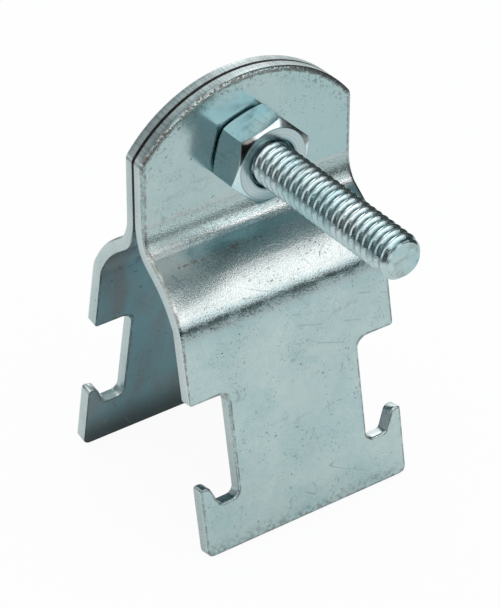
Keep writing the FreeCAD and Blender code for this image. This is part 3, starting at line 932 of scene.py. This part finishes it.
EAR_START = (0.0175, 0.021)   # heights in metres between which the flat ear begins


class NodeBoard:
    """Adds and joins the nodes of one tree."""

    def __init__(self, tree: Tree) -> None:
        """Keeps the tree that the nodes go into."""
        self.tree = tree

    def add(self, kind: str, inputs: dict | None = None, **settings: object) -> bpy.types.Node:
        """Adds a node.

        Args:
            kind: the node's type.
            inputs: a value or a socket for each input that is set.
            settings: the node's other properties.

        Returns:
            The new node.
        """
        node = self.tree.nodes.new(kind)
        for key, value in settings.items():
            setattr(node, key, value)
        for key, value in (inputs or {}).items():
            if isinstance(value, Socket):
                self.tree.links.new(value, node.inputs[key])
            else:
                node.inputs[key].default_value = value
        return node

    def math(self, operation: str, *values: Value, clamp: bool = True) -> Socket:
        """Adds a Math node and returns its result, which is held between 0 and 1 unless clamp is off."""
        inputs = dict(enumerate(values))
        return self.add("ShaderNodeMath", inputs, operation=operation, use_clamp=clamp).outputs[0]

    def times(self, *values: Value) -> Socket:
        """Multiplies values."""
        return reduce(lambda first, second: self.math("MULTIPLY", first, second), values)

    def plus(self, *values: Value) -> Socket:
        """Adds values up."""
        return reduce(lambda first, second: self.math("ADD", first, second), values)

    def less(self, *values: Value) -> Socket:
        """Takes all later values off the first."""
        return reduce(lambda first, second: self.math("SUBTRACT", first, second), values)

    def most(self, *values: Value) -> Socket:
        """Picks the largest value."""
        return reduce(lambda first, second: self.math("MAXIMUM", first, second), values)

    def noise(self, vector: Socket, scale: float, detail: float = 2.0, distortion: float = 0.0) -> Socket:
        """Adds a noise texture and returns its value."""
        return self.add("ShaderNodeTexNoise", {"Vector": vector, "Scale": scale, "Detail": detail,
                                               "Distortion": distortion}).outputs["Fac"]

    def ramp(self, value: Socket, low: float, high: float) -> Socket:
        """Adds a smooth step from 0 at low to 1 at high."""
        return self.add("ShaderNodeMapRange", {"Value": value, "From Min": low, "From Max": high},
                        interpolation_type="SMOOTHSTEP").outputs[0]

    def spots(self, vector: Socket, scale: float, detail: float, low: float, high: float,
              distortion: float = 0.0) -> Socket:
        """Adds noise that is stepped from 0 at low to 1 at high."""
        return self.ramp(self.noise(vector, scale, detail, distortion), low, high)

    def blend(self, factor: Value, first: Paint, second: Paint) -> Socket:
        """Mixes two colours."""
        first, second = (value if isinstance(value, Socket) else (*value, 1) for value in (first, second))
        return self.add("ShaderNodeMix", {0: factor, 6: first, 7: second}, data_type="RGBA").outputs[2]

    def coats(self, colour: Paint, *layers: tuple[Socket, float, Paint]) -> Paint:
        """Lays colours over each other.

        Args:
            colour: the lowest colour.
            layers: mask, strength and colour of each coat, from the lowest up.

        Returns:
            The colour with all its coats.
        """
        for mask, strength, paint in layers:
            colour = self.blend(mask if strength == 1 else self.times(mask, strength), colour, paint)
        return colour

    def scaled(self, vector: Socket, scale: Triple, turn: Triple = (0, 0, 0),
               shift: Triple = (0, 0, 0)) -> Socket:
        """Stretches, turns in degrees and moves a vector."""
        angles = tuple(math.radians(angle) for angle in turn)
        return self.add("ShaderNodeMapping", {"Vector": vector, "Scale": scale, "Rotation": angles,
                                              "Location": shift}).outputs[0]

    def axes(self, vector: Socket) -> tuple[Socket, ...]:
        """Splits a vector into X, Y and Z."""
        return tuple(self.add("ShaderNodeSeparateXYZ", {0: vector}).outputs)

    def away(self, place: Socket, across: float, height: float) -> Socket:
        """Measures the distance from a line along Y, in metres."""
        flat = self.scaled(place, (1, 0, 1), shift=(-across, 0, -height))
        return self.add("ShaderNodeVectorMath", {0: flat}, operation="LENGTH").outputs["Value"]

    def attribute(self, name: str) -> Socket:
        """Reads a number kept on the mesh."""
        return self.add("ShaderNodeAttribute", attribute_name=name).outputs["Fac"]

    def group(self, tree: Tree, place: Socket) -> bpy.types.bpy_prop_collection:
        """Places a shared group and returns its outputs."""
        return self.add("ShaderNodeGroup", {"Vector": place}, node_tree=tree).outputs


class SharedGroup:
    """A node group with a Vector input and some number outputs."""

    def __init__(self, name: str) -> None:
        """Starts the group.

        Args:
            name: name of the group.
        """
        self.tree = bpy.data.node_groups.new(name, "ShaderNodeTree")
        self.tree.interface.new_socket("Vector", in_out="INPUT", socket_type="NodeSocketVector")
        self.board = NodeBoard(self.tree)
        self.vector = self.board.add("NodeGroupInput").outputs["Vector"]

    def close(self, **results: Socket) -> Tree:
        """Puts the results out.

        Args:
            results: a value for each output, by name.

        Returns:
            The finished group.
        """
        for name in results:
            self.tree.interface.new_socket(name, in_out="OUTPUT", socket_type="NodeSocketFloat")
        self.board.add("NodeGroupOutput", results)
        return self.tree


def plating_group() -> Tree:
    """Makes the group for the zinc itself: clouds of tint, fine grain, dark specks and smears.

    Returns:
        The new group.
    """
    group = SharedGroup("plated_zinc")
    board, vector = group.board, group.vector
    return group.close(
        Cloud=board.spots(vector, 150, 5, 0.34, 0.66, 0.3),
        Grain=board.noise(vector, 5000),
        Specks=board.times(board.spots(vector, 2900, 2, 0.64, 0.72), board.spots(vector, 300, 3, 0.42, 0.60)),
        Smears=board.times(board.spots(board.scaled(vector, (0.4, 1.0, 1.0)), 520, 6, 0.50, 0.70, 0.5),
                           board.spots(vector, 130, 2, 0.46, 0.64)))


def scratch_group() -> Tree:
    """Makes the group for sparse hair scratches from handling.

    Returns:
        The new group.
    """
    group = SharedGroup("handling_scratches")
    board = group.board
    directions = (((0, 38, 24), 0.10, 150), ((20, -34, 0), 0.14, 210), ((0, 72, 40), 0.08, 120),
                  ((35, 10, -50), 0.2, 330))
    lines = []
    for number, (turn, stretch, scale) in enumerate(directions):
        turned = board.scaled(group.vector, (1, 1, 1), turn, (0.01 * number, 0.02, 0.03))
        along = board.noise(board.scaled(turned, (1, 1, stretch)), scale, 1, 0.4)
        off = board.math("ABSOLUTE", board.math("SUBTRACT", along, 0.5, clamp=False))
        lines.append(board.times(board.ramp(off, 0.0045, 0.0), board.spots(turned, 310, 2, 0.55, 0.62)))
    return group.close(Scratches=board.most(*lines))


@dataclass(frozen=True)
class Plating:
    """Bright zinc plating with a blue passivation.

    Attributes:
        name: name of the material.
        clean: colour where the plating is clean.
        tinted: colour where the passivation is thick.
        worn: colour of its smears, patches and tool lines; on the screw, the painted shade in the thread's
            roots.
        roughness: roughness of clean plating.
        grain: height of its grain in metres.
    """

    name: str
    clean: Colour
    tinted: Colour
    worn: Colour
    roughness: float
    grain: float

    def layers(self, board: NodeBoard, groups: Groups, place: Socket) -> tuple[Socket, ...]:
        """Lays out colour, roughness and height.

        Args:
            board: the material's nodes.
            groups: the shared groups by name.
            place: the Object coordinates.

        Returns:
            Sockets for the colour, the roughness and the height.
        """
        raise NotImplementedError

    def build(self, groups: Groups) -> Material:
        """Makes the material.

        Args:
            groups: the shared groups by name.

        Returns:
            The new material.
        """
        material = bpy.data.materials.new(self.name)
        material.use_nodes = True
        board = NodeBoard(material.node_tree)
        shader = material.node_tree.nodes["Principled BSDF"]
        shader.inputs["Metallic"].default_value = 1.0
        place = board.add("ShaderNodeTexCoord").outputs["Object"]
        colour, roughness, height = self.layers(board, groups, place)
        bump = board.add("ShaderNodeBump", {"Height": height, "Distance": self.grain, "Strength": 1.0})
        for socket, target in ((colour, "Base Color"), (roughness, "Roughness"), (bump.outputs[0], "Normal")):
            board.tree.links.new(socket, shader.inputs[target])
        return material


@dataclass(frozen=True)
class RolledPlating(Plating):
    """Plating on the faces of the sheet: coarse where it was bent, cracked and dirty at creases and rims,
    with painted light and painted shade.

    Its own fields are the colours of painted teal shade on the crease and the inner side, of what the tools
    rubbed, burnished and pitted, of painted light on the foot bend, of painted shade on the slope, of the
    slope's dull patch, of the darker band along the legs' bottom edge, of dirt, cracks and scratches, and of
    painted shade at the slit between the ears.
    """

    painted_shade_teal: Colour = (0.20, 0.40, 0.46)
    inner_shade_patches: Colour = (0.22, 0.27, 0.29)
    inner_bottom_shade: Colour = (0.02, 0.035, 0.04)
    rubbed: Colour = (0.62, 0.645, 0.64)
    burnish_and_painted_highlight: Colour = (0.88, 0.90, 0.89)
    pitted: Colour = (0.22, 0.28, 0.29)
    foot_painted_light: Colour = (0.74, 0.92, 0.92)
    slope_painted_shade: Colour = (0.13, 0.30, 0.34)
    slope_chalk: Colour = (0.66, 0.69, 0.64)
    hem_shade_and_soil: Colour = (0.15, 0.19, 0.19)
    dirt: Colour = (0.15, 0.11, 0.085)
    crack: Colour = (0.07, 0.085, 0.085)
    scratch: Colour = (0.26, 0.33, 0.34)
    gap_painted_shade: Colour = (0.03, 0.03, 0.03)

    def layers(self, board: NodeBoard, groups: Groups, place: Socket) -> tuple[Socket, ...]:
        """Lays out colour, roughness and height.

        Args:
            board: the material's nodes.
            groups: the shared groups by name.
            place: the Object coordinates.

        Returns:
            Sockets for the colour, the roughness and the height.
        """
        cloud, grain, specks, smears = board.group(groups["plating"], place)
        scratches = board.group(groups["scratches"], place)["Scratches"]
        across, _, height_up = board.axes(place)
        strain, depth, drop, crease, slope, scuff = (
            board.attribute(name) for name in ("strain", "depth", "drop", "crease", "slope", "scuff"))
        inside = board.ramp(depth, 0.93, 1.0)
        on_ear = board.ramp(height_up, *EAR_START)
        speckle = board.ramp(grain, 0.30, 0.68)
        worked = board.most(strain, board.times(board.ramp(drop, 0.0, 0.06), 0.7))

        # Tint, what the bending did to it, and painted light and shade
        tint = board.plus(board.times(cloud, 0.30), board.times(speckle, 0.30),
                          board.times(board.spots(place, 850, 5, 0.40, 0.64), 0.16))
        sheen = board.spots(board.scaled(place, (1, 1, 0.5)), 60, 2, 0.40, 0.66, 1.0)
        warm = board.most(board.times(sheen, board.plus(board.times(inside, 0.35), 0.20)),
                          board.times(on_ear, 0.5))
        rub = board.less(board.times(strain, 1.3), board.times(board.ramp(strain, 0.58, 0.80), 0.65))
        # Painted light: a paler teal over the left part of the foot bend and just above it
        painted_light_above_bend = board.times(board.ramp(height_up, 0.0187, 0.0197), board.ramp(height_up, 0.0224, 0.0204),
                                 board.ramp(strain, 0.05, 0.84), board.ramp(across, 0.005, -0.004))
        # Painted shade: dark teal patches over the left part of the slope
        slope_shade_patches = board.times(slope, board.ramp(across, 0.008, -0.001),
                              board.spots(place, 240, 4, 0.25, 0.55))
        ragged = board.math("ADD", across, board.times(board.noise(place, 190, 4), 0.006), clamp=False)
        dull = board.times(slope, board.ramp(ragged, -0.0065, -0.0105))
        colour = board.coats(
            self.clean,
            (tint, 1, self.tinted),
            (warm, 1, self.worn),
            # Painted shade: the ear grows darker and more tinted towards +X
            (board.times(on_ear, board.ramp(across, -0.001, 0.010)), 0.45, self.tinted),
            (rub, 1, self.rubbed),
            (painted_light_above_bend, 0.8, self.foot_painted_light),
            # Painted shade: the crease is darkened towards teal
            (crease, 0.42, self.painted_shade_teal),
            (slope_shade_patches, 0.25, self.slope_painted_shade),
            (dull, 0.6, self.slope_chalk),
            # Painted highlight: the burnished tight foot bend next to the slope is lifted near white
            (board.ramp(board.times(strain, slope), 0.56, 0.80), 1, self.burnish_and_painted_highlight),
            (board.times(worked, speckle), 0.55, self.pitted))
        # Painted shade on the inner side: teal with darker patches, near black towards the bottom, laid at
        # 0.82 over the inner faces
        streaks = board.spots(board.scaled(place, (1, 1, 0.35)), 190, 3, 0.36, 0.66, 0.6)
        deep = board.coats(self.painted_shade_teal, (streaks, 1, self.inner_shade_patches),
                           (board.ramp(height_up, -0.016, -0.0225), 1, self.inner_bottom_shade))
        colour = board.blend(inside, colour, board.blend(0.82, colour, deep))

        # Soil, marks, and painted shade along the legs' bottom edge and at the slit between the ears
        line = board.times(board.ramp(drop, 0.002, 0.012), board.ramp(drop, 0.08, 0.03),
                           board.spots(place, 1100, 5, 0.34, 0.62))
        band = board.times(board.ramp(drop, 0.03, 0.10), board.spots(place, 2200, 5, 0.44, 0.60),
                           board.plus(board.ramp(height_up, 0.0300, 0.0325), 0.35))
        cracks = board.times(crease, board.spots(place, 420, 3, 0.25, 0.62), board.noise(place, 3600, 3))
        scuffed = board.times(scuff, board.spots(place, 330, 3, 0.46, 0.60), board.noise(place, 3300, 4))
        flecks = board.times(on_ear, board.ramp(board.away(place, 0, 0.01894), 0.0178, 0.0204),
                             board.spots(place, 2300, 4, 0.57, 0.63, 0.8))
        # Darker spotted band along the legs' bottom edge: painted shade with soil
        hem = board.times(board.ramp(height_up, -0.0204, -0.0230),
                          board.spots(place, 1500, 6, 0.40, 0.66, 0.3), board.less(1.0, inside))
        soiled = board.times(smears, board.spots(place, 2300, 3, 0.42, 0.62))
        dirt = board.most(board.times(line, 0.6), board.times(band, 0.9), board.times(specks, 0.7),
                          board.times(board.ramp(scuffed, 0.36, 0.56), 0.85), board.times(flecks, 0.6),
                          board.times(soiled, 0.20))
        # Painted shade: near black along the ears' inner rims, in the slit between the ears
        under = board.times(board.ramp(depth, 0.86, 0.90), board.ramp(depth, 0.999, 0.985), on_ear)
        colour = board.coats(
            colour,
            (hem, 0.7, self.hem_shade_and_soil),
            (dirt, 1, self.dirt),
            (board.ramp(cracks, 0.25, 0.48), 0.65, self.crack),
            (scratches, 0.5, self.scratch),
            (under, 1, self.gap_painted_shade))
        rough = board.plus(self.roughness, board.times(cloud, 0.04), board.times(dirt, 0.25),
                           board.times(worked, 0.03), board.times(dull, 0.15))
        height = board.less(board.times(grain, board.plus(0.16, board.times(worked, 0.84))),
                            board.times(scratches, 0.2), board.times(board.most(specks, band), 0.5))
        return colour, rough, height


@dataclass(frozen=True)
class ShearedPlating(Plating):
    """Plating on the sheared walls, with the punch's lines, a bright burr below, a dirty rim above, and
    painted shade near the inner face on the ears, at the slit between them.
    """

    burr: Colour = (0.78, 0.83, 0.82)
    dirt: Colour = (0.05, 0.045, 0.04)

    def layers(self, board: NodeBoard, groups: Groups, place: Socket) -> tuple[Socket, ...]:
        """Lays out colour, roughness and height.

        Args:
            board: the material's nodes.
            groups: the shared groups by name.
            place: the Object coordinates.

        Returns:
            Sockets for the colour, the roughness and the height.
        """
        blank = board.add("ShaderNodeUVMap", uv_map="blank").outputs[0]
        cloud, grain, specks, _ = board.group(groups["plating"], place)
        height_up, depth = board.axes(place)[2], board.attribute("depth")
        fine = board.noise(blank, 2900, 3)
        breaks = board.spots(blank, 380, 3, 0.46, 0.62)
        scored = board.plus(board.times(board.ramp(height_up, 0.031, 0.033), 0.48), 0.12)
        upper = board.ramp(height_up, 0.0185, 0.0200)
        edge = board.times(board.ramp(depth, 0.16, 0.10), board.spots(place, 1700, 3, 0.40, 0.62), upper)
        # Dirt along the outer rim and specks, and in the last term painted shade near the inner face on the
        # ears, at the slit between them
        dirt = board.most(board.times(edge, 0.55), board.times(specks, 0.8),
                          board.times(board.ramp(depth, 0.87, 0.91), board.ramp(height_up, *EAR_START)))
        colour = board.coats(
            self.clean,
            (cloud, 0.5, self.tinted),
            (board.times(board.ramp(fine, 0.56, 0.40), scored), 1, self.worn),
            (board.times(board.ramp(depth, 0.15, 0.09), board.less(1.0, upper)), 1, self.burr),
            (dirt, 1, self.dirt))
        rough = board.plus(self.roughness, board.times(board.ramp(depth, 0.35, 0.6), 0.10))
        lines = board.times(fine, board.plus(0.55, board.times(breaks, 0.45)))
        return colour, rough, board.plus(lines, board.times(grain, 0.3))


@dataclass(frozen=True)
class ThreadPlating(Plating):
    """Bright plating on the rolled screw, with painted teal shade and brown grime in the roots of its thread,
    smudged at its end.
    """

    smudge: Colour = (0.30, 0.34, 0.32)
    grime: Colour = (0.085, 0.068, 0.052)

    def layers(self, board: NodeBoard, groups: Groups, place: Socket) -> tuple[Socket, ...]:
        """Lays out colour, roughness and height.

        Args:
            board: the material's nodes.
            groups: the shared groups by name.
            place: the Object coordinates.

        Returns:
            Sockets for the colour, the roughness and the height.
        """
        cloud, grain, specks, smears = board.group(groups["plating"], place)
        scratches = board.group(groups["scratches"], place)["Scratches"]
        root = board.attribute("root")
        grime = board.most(
            board.times(board.ramp(root, 0.72, 0.98), board.spots(place, 900, 3, 0.28, 0.62), 0.9),
            board.times(specks, 0.7), board.times(smears, 0.3))
        at_end = board.ramp(board.axes(place)[1], -0.03500, -0.03508)
        colour = board.coats(
            self.clean,
            (cloud, 1, self.tinted),
            # Painted shade: the thread's roots are darkened to teal
            (board.ramp(root, 0.35, 0.85), 1, self.worn),
            (board.times(at_end, board.spots(place, 900, 6, 0.42, 0.70, 0.2)), 0.6, self.smudge),
            (grime, 1, self.grime))
        rough = board.plus(self.roughness, board.times(grime, 0.3), board.times(cloud, 0.05))
        rolled = board.times(board.noise(place, 1400, 3), 0.8)
        height = board.less(board.plus(board.times(grain, 0.17), rolled), board.times(scratches, 0.1))
        return colour, rough, height


@dataclass(frozen=True)
class TurnedPlating(Plating):
    """Bright plating on the nut, over the lines that its turning and drawing left, with painted shade in its
    countersinks, on its lower part, on two crown corners, along the edge of its flat end faces and where it
    sits on the ear.
    """

    turned: Colour = (0.62, 0.67, 0.665)
    mouth_shade: Colour = (0.10, 0.21, 0.24)
    under: Colour = (0.12, 0.25, 0.28)
    rim: Colour = (0.10, 0.14, 0.15)
    right_corner_shade: Colour = (0.26, 0.28, 0.27)
    right_spots: Colour = (0.10, 0.08, 0.065)
    left_corner_shade: Colour = (0.10, 0.075, 0.06)
    seat: Colour = (0.03, 0.085, 0.095)
    dirt: Colour = (0.09, 0.08, 0.07)

    def layers(self, board: NodeBoard, groups: Groups, place: Socket) -> tuple[Socket, ...]:
        """Lays out colour, roughness and height.

        Args:
            board: the material's nodes.
            groups: the shared groups by name.
            place: the Object coordinates.

        Returns:
            Sockets for the colour, the roughness and the height.
        """
        cloud, _, specks, smears = board.group(groups["plating"], place)
        scratches = board.group(groups["scratches"], place)["Scratches"]
        across, along, height_up = board.axes(place)
        radius = board.away(place, 0, SCREW_HEIGHT * MM)
        rings = board.add("ShaderNodeTexNoise", {"W": radius, "Scale": 9000.0, "Detail": 2.0},
                          noise_dimensions="1D").outputs["Fac"]
        drawn = board.noise(board.scaled(place, (1, 0.04, 1)), 3200)
        dirt = board.most(board.times(specks, 0.4), board.times(smears, 0.35))
        faced = board.ramp(radius, 0.0054, 0.0050)
        from_rim = board.math("ABSOLUTE", board.math("SUBTRACT", radius, 0.00517, clamp=False))

        # The turned corners lie on a cone
        slope = math.tan(math.radians(NUT_CORNER_ANGLE))
        cone_start = -(EAR_FACE + NUT_HEIGHT + (HEX_FLATS / 2 - NUT_FLAT_INSET) * slope) * MM
        cone = board.math("MULTIPLY_ADD", radius, slope, cone_start, clamp=False)
        behind = board.math("SUBTRACT", along, cone, clamp=False)
        corners = board.less(board.ramp(radius, 0.00518, 0.00526), board.ramp(behind, 0.00003, 0.00009))
        # Painted shade on the upper-right crown corners, with brown spots over it
        right = board.times(corners, board.ramp(across, 0.0006, 0.0018),
                            board.ramp(height_up, 0.0298, 0.0306))
        spotted_shade = board.blend(board.spots(place, 1500, 5, 0.36, 0.60), self.right_corner_shade, self.right_spots)
        # Painted shade: a dark brownish wedge on the crown corner at the upper left
        left = board.times(corners, board.ramp(board.away(place, -0.0043, 0.0333), 0.0023, 0.0011))
        colour = board.coats(
            self.clean,
            (cloud, 1, self.tinted),
            (board.ramp(drawn, 0.52, 0.70), 0.30, self.worn),
            (dirt, 1, self.dirt),
            (faced, 1, board.blend(board.ramp(rings, 0.3, 0.7), self.turned, self.worn)),
            # Painted shade in the countersinks
            (board.ramp(radius, 0.00405, 0.00345), 0.85, self.mouth_shade),
            # Painted shade: the nut's lower part is darker
            (board.ramp(height_up, 0.0262, 0.0240), 0.7, self.under),
            # Painted shade: a thin dark line along the outer edge of the flat end faces
            (board.ramp(from_rim, 0.00011, 0.00003), 0.5, self.rim),
            (right, 0.85, spotted_shade),
            (left, 0.85, self.left_corner_shade),
            # Painted shade: a near-black band where the nut sits on the ear
            (board.ramp(along, -0.00255, -0.00220), 1, self.seat))
        rough = board.plus(self.roughness, board.times(dirt, 0.25), board.times(faced, 0.10),
                           board.times(right, 0.16))
        height = board.less(board.plus(board.times(rings, 0.5), board.times(drawn, 0.5)),
                            board.times(scratches, 0.3))
        return colour, rough, height


# Studio

def empty_board(owner: Material | bpy.types.World) -> NodeBoard:
    """Clears the nodes of a material or of the world.

    Args:
        owner: the material or the world.

    Returns:
        Its empty board.
    """
    owner.use_nodes = True
    owner.node_tree.nodes.clear()
    return NodeBoard(owner.node_tree)


@dataclass(frozen=True)
class Card:
    """A grey card of the light tent, seen only as a reflection in the metal.

    Attributes:
        name: name of the card.
        low: lowest elevation, in degrees.
        high: highest elevation, in degrees.
        start: azimuth of its first side, in degrees from +X towards +Y.
        sweep: how far it reaches round, in degrees.
        shade: how bright it is.
        distance: how far it stands from the clamp.
    """

    name: str
    low: float
    high: float
    start: float
    sweep: float
    shade: Colour
    distance: float = 1500.0

    def build(self) -> None:
        """Makes the card."""
        bm = bmesh.new()
        low = math.radians(self.low)
        bm.verts.new((self.distance * math.cos(low), 0, self.distance * math.sin(low)))
        bmesh.ops.spin(bm, geom=bm.verts[:], cent=(0, 0, 0), axis=(0, -1, 0), steps=8,
                       angle=math.radians(self.high - self.low), use_duplicate=False)
        bmesh.ops.rotate(bm, cent=(0, 0, 0), verts=bm.verts,
                         matrix=Matrix.Rotation(math.radians(self.start), 3, "Z"))
        bmesh.ops.spin(bm, geom=bm.verts[:] + bm.edges[:], cent=(0, 0, 0), axis=(0, 0, 1), steps=32,
                       angle=math.radians(self.sweep), use_duplicate=False)
        material = bpy.data.materials.new(self.name)
        board = empty_board(material)
        glow = board.add("ShaderNodeEmission", {"Color": (*self.shade, 1)})
        board.add("ShaderNodeOutputMaterial", {"Surface": glow.outputs[0]})
        card = finish_piece(self.name, bm, [material], smooth_angle=30)
        for ray in ("camera", "diffuse", "transmission", "volume_scatter", "shadow"):
            setattr(card, f"visible_{ray}", False)


@dataclass(frozen=True)
class Softbox:
    """A soft rectangular lamp that faces the clamp.

    Attributes:
        name: name of the lamp.
        azimuth: where it hangs, in degrees from +X towards +Y.
        elevation: how high, in degrees.
        size: its width and height.
        brightness: how bright its face looks, where 1 is white.
        distance: how far it hangs from the clamp.
        tone: colour of its light.
    """

    name: str
    azimuth: float
    elevation: float
    size: tuple[float, float]
    brightness: float
    distance: float = 620.0
    tone: Colour = (1.0, 0.95, 0.93)

    def build(self) -> None:
        """Hangs the lamp."""
        azimuth, elevation = math.radians(self.azimuth), math.radians(self.elevation)
        data = bpy.data.lights.new(self.name, "AREA")
        data.shape = "RECTANGLE"
        data.size, data.size_y = (side * MM for side in self.size)
        data.energy = self.brightness * math.pi * data.size * data.size_y
        data.color = self.tone
        lamp = bpy.data.objects.new(self.name, data)
        away = Vector((math.cos(azimuth) * math.cos(elevation), math.sin(azimuth) * math.cos(elevation),
                       math.sin(elevation)))
        lamp.location = away * self.distance * MM
        lamp.rotation_mode = "QUATERNION"
        lamp.rotation_quaternion = (-away).to_track_quat("-Z", "Y")
        bpy.context.scene.collection.objects.link(lamp)


@dataclass
class Studio:
    """Floor, soft lamps, grey cards, white surroundings and the camera."""

    floor_level: float
    floor_colour: Colour = (0.80, 0.86, 0.865)
    world_light: float = 0.80
    camera_place: tuple[float, float, float] = (-178.757, -254.182, 215.847)
    yaw: float = 35.355
    pitch: float = 34.301
    roll: float = 0.180
    focal_px: float = 2751.728
    centre_px: tuple[float, float] = (249.408, 298.258)
    frame_px: tuple[int, int] = (500, 608)
    cards: tuple[Card, ...] = (
        Card("horizon_card", -3.2, 7.5, -105, 75, (0.02, 0.025, 0.025), 400),
        Card("shelf_card", -6.4, -2.6, -105, 90, (0.25, 0.28, 0.28), 200),
        Card("front_left_card", -6.4, 26, -125, 38, (0.025, 0.03, 0.03), 200),
        Card("front_right_card", -6.4, 20, -48, 84, (0.05, 0.06, 0.06), 200),
        Card("left_ring_card", -8.4, 12.5, 55, 180, (0.30, 0.33, 0.34), 150),
        Card("side_card", 9, 42, -30, 66, (0.05, 0.055, 0.055)),
        Card("back_left_card", 16, 42, 104, 60, (0.26, 0.28, 0.29)),
        Card("ceiling_card", 40, 66, -62, 200, (0.13, 0.215, 0.235)),
        Card("left_ceiling_card", 42, 66, 138, 110, (0.46, 0.50, 0.52)),
    )
    lamps: tuple[Softbox, ...] = (
        Softbox("key_softbox", -74, 27, (640, 220), 0.82),
        Softbox("overhead_softbox", 90, 88, (360, 360), 1.25),
        Softbox("back_softbox", 70, 28, (400, 260), 0.9),
    )

    def white_rays(self, board: NodeBoard, share: float, glossy: float) -> Socket:
        """Tells which rays see plain white.

        Args:
            board: the nodes of a material or of the world.
            share: how much of it camera and transmission rays see.
            glossy: how much of it glossy rays see.

        Returns:
            The share for the ray at hand.
        """
        path = board.add("ShaderNodeLightPath").outputs
        seen = board.most(path["Is Camera Ray"], path["Is Transmission Ray"])
        return board.most(board.times(seen, share), board.times(path["Is Glossy Ray"], glossy))

    def floor(self) -> None:
        """Lays a wide pale floor under the clamp."""
        bm = bmesh.new()
        bmesh.ops.create_grid(bm, x_segments=1, y_segments=1, size=3000)
        bmesh.ops.translate(bm, vec=Vector((0, 0, self.floor_level)), verts=bm.verts)
        material = bpy.data.materials.new("pale_floor")
        board = empty_board(material)
        matte = board.add("ShaderNodeBsdfDiffuse", {"Color": (*self.floor_colour, 1)})
        glow = board.add("ShaderNodeEmission", {"Color": (1, 1, 1, 1)})
        blend = board.add("ShaderNodeMixShader", {"Fac": self.white_rays(board, 0.94, 0.12),
                                                  1: matte.outputs[0], 2: glow.outputs[0]})
        board.add("ShaderNodeOutputMaterial", {"Surface": blend.outputs[0]})
        finish_piece("pale_floor", bm, [material], smooth_angle=30)

    def surroundings(self) -> None:
        """Sets the white world, softer where it lights the floor than where it is seen."""
        world = bpy.data.worlds.new("soft_white")
        bpy.context.scene.world = world
        board = empty_board(world)
        soft, white = (board.add("ShaderNodeBackground", {"Color": (1, 1, 1, 1), "Strength": strength})
                       for strength in (self.world_light, 1.0))
        blend = board.add("ShaderNodeMixShader", {"Fac": self.white_rays(board, 1.0, 1.0),
                                                  1: soft.outputs[0], 2: white.outputs[0]})
        board.add("ShaderNodeOutputWorld", {"Surface": blend.outputs[0]})

    def camera(self) -> None:
        """Places the camera where the photograph was taken from."""
        yaw, pitch, roll = (math.radians(angle) for angle in (self.yaw, self.pitch, self.roll))
        forward = Vector((math.sin(yaw) * math.cos(pitch), math.cos(yaw) * math.cos(pitch), -math.sin(pitch)))
        level = Vector((math.cos(yaw), -math.sin(yaw), 0))
        upright = level.cross(forward)
        right = math.cos(roll) * level + math.sin(roll) * upright
        up = -math.sin(roll) * level + math.cos(roll) * upright
        data = bpy.data.cameras.new("photo_camera")
        width, height = self.frame_px
        data.lens = self.focal_px * data.sensor_width / height
        data.shift_x = (width / 2 - self.centre_px[0]) / height
        data.shift_y = (self.centre_px[1] - height / 2) / height
        data.clip_start, data.clip_end = 0.01, 20
        camera = bpy.data.objects.new("photo_camera", data)
        turned = Matrix((right, up, -forward)).transposed().to_4x4()
        camera.matrix_world = Matrix.Translation(Vector(self.camera_place) * MM) @ turned
        bpy.context.scene.collection.objects.link(camera)
        bpy.context.scene.camera = camera

    def build(self) -> None:
        """Sets up the whole studio."""
        self.floor()
        self.surroundings()
        for item in (*self.cards, *self.lamps):
            item.build()
        self.camera()
        bpy.context.scene.view_settings.view_transform = "Standard"


def main() -> None:
    """Builds the clamp and the studio."""
    logging.basicConfig(level=logging.INFO, format="%(message)s")
    finishes = (
        RolledPlating("zinc_sheet", (0.605, 0.69, 0.685), (0.37, 0.55, 0.565), (0.44, 0.545, 0.55),
                      0.17, 0.000035),
        ShearedPlating("zinc_sheared_edge", (0.61, 0.68, 0.68), (0.47, 0.58, 0.59), (0.32, 0.38, 0.38),
                       0.27, 0.000016),
        ThreadPlating("zinc_screw", (0.62, 0.70, 0.71), (0.44, 0.61, 0.63), (0.18, 0.30, 0.33),
                      0.19, 0.000060),
        TurnedPlating("zinc_nut", (0.75, 0.87, 0.89), (0.57, 0.83, 0.89), (0.38, 0.52, 0.56),
                      0.13, 0.000003),
    )
    groups = {"plating": plating_group(), "scratches": scratch_group()}
    rolled, sheared, screw_zinc, nut_zinc = (finish.build(groups) for finish in finishes)
    pieces = [
        StampedHalf("front_half", facing=-1).build([rolled, sheared]),
        StampedHalf("rear_half", facing=1).build([rolled, sheared]),
        HexNut().build(nut_zinc),
        ClampScrew().build(screw_zinc),
    ]
    for piece in pieces:
        log.info("%s: %d faces", piece.name, len(piece.data.polygons))
    Studio(floor_level=cad_box[0].z / MM).build()


if __name__ == "__main__":
    main()
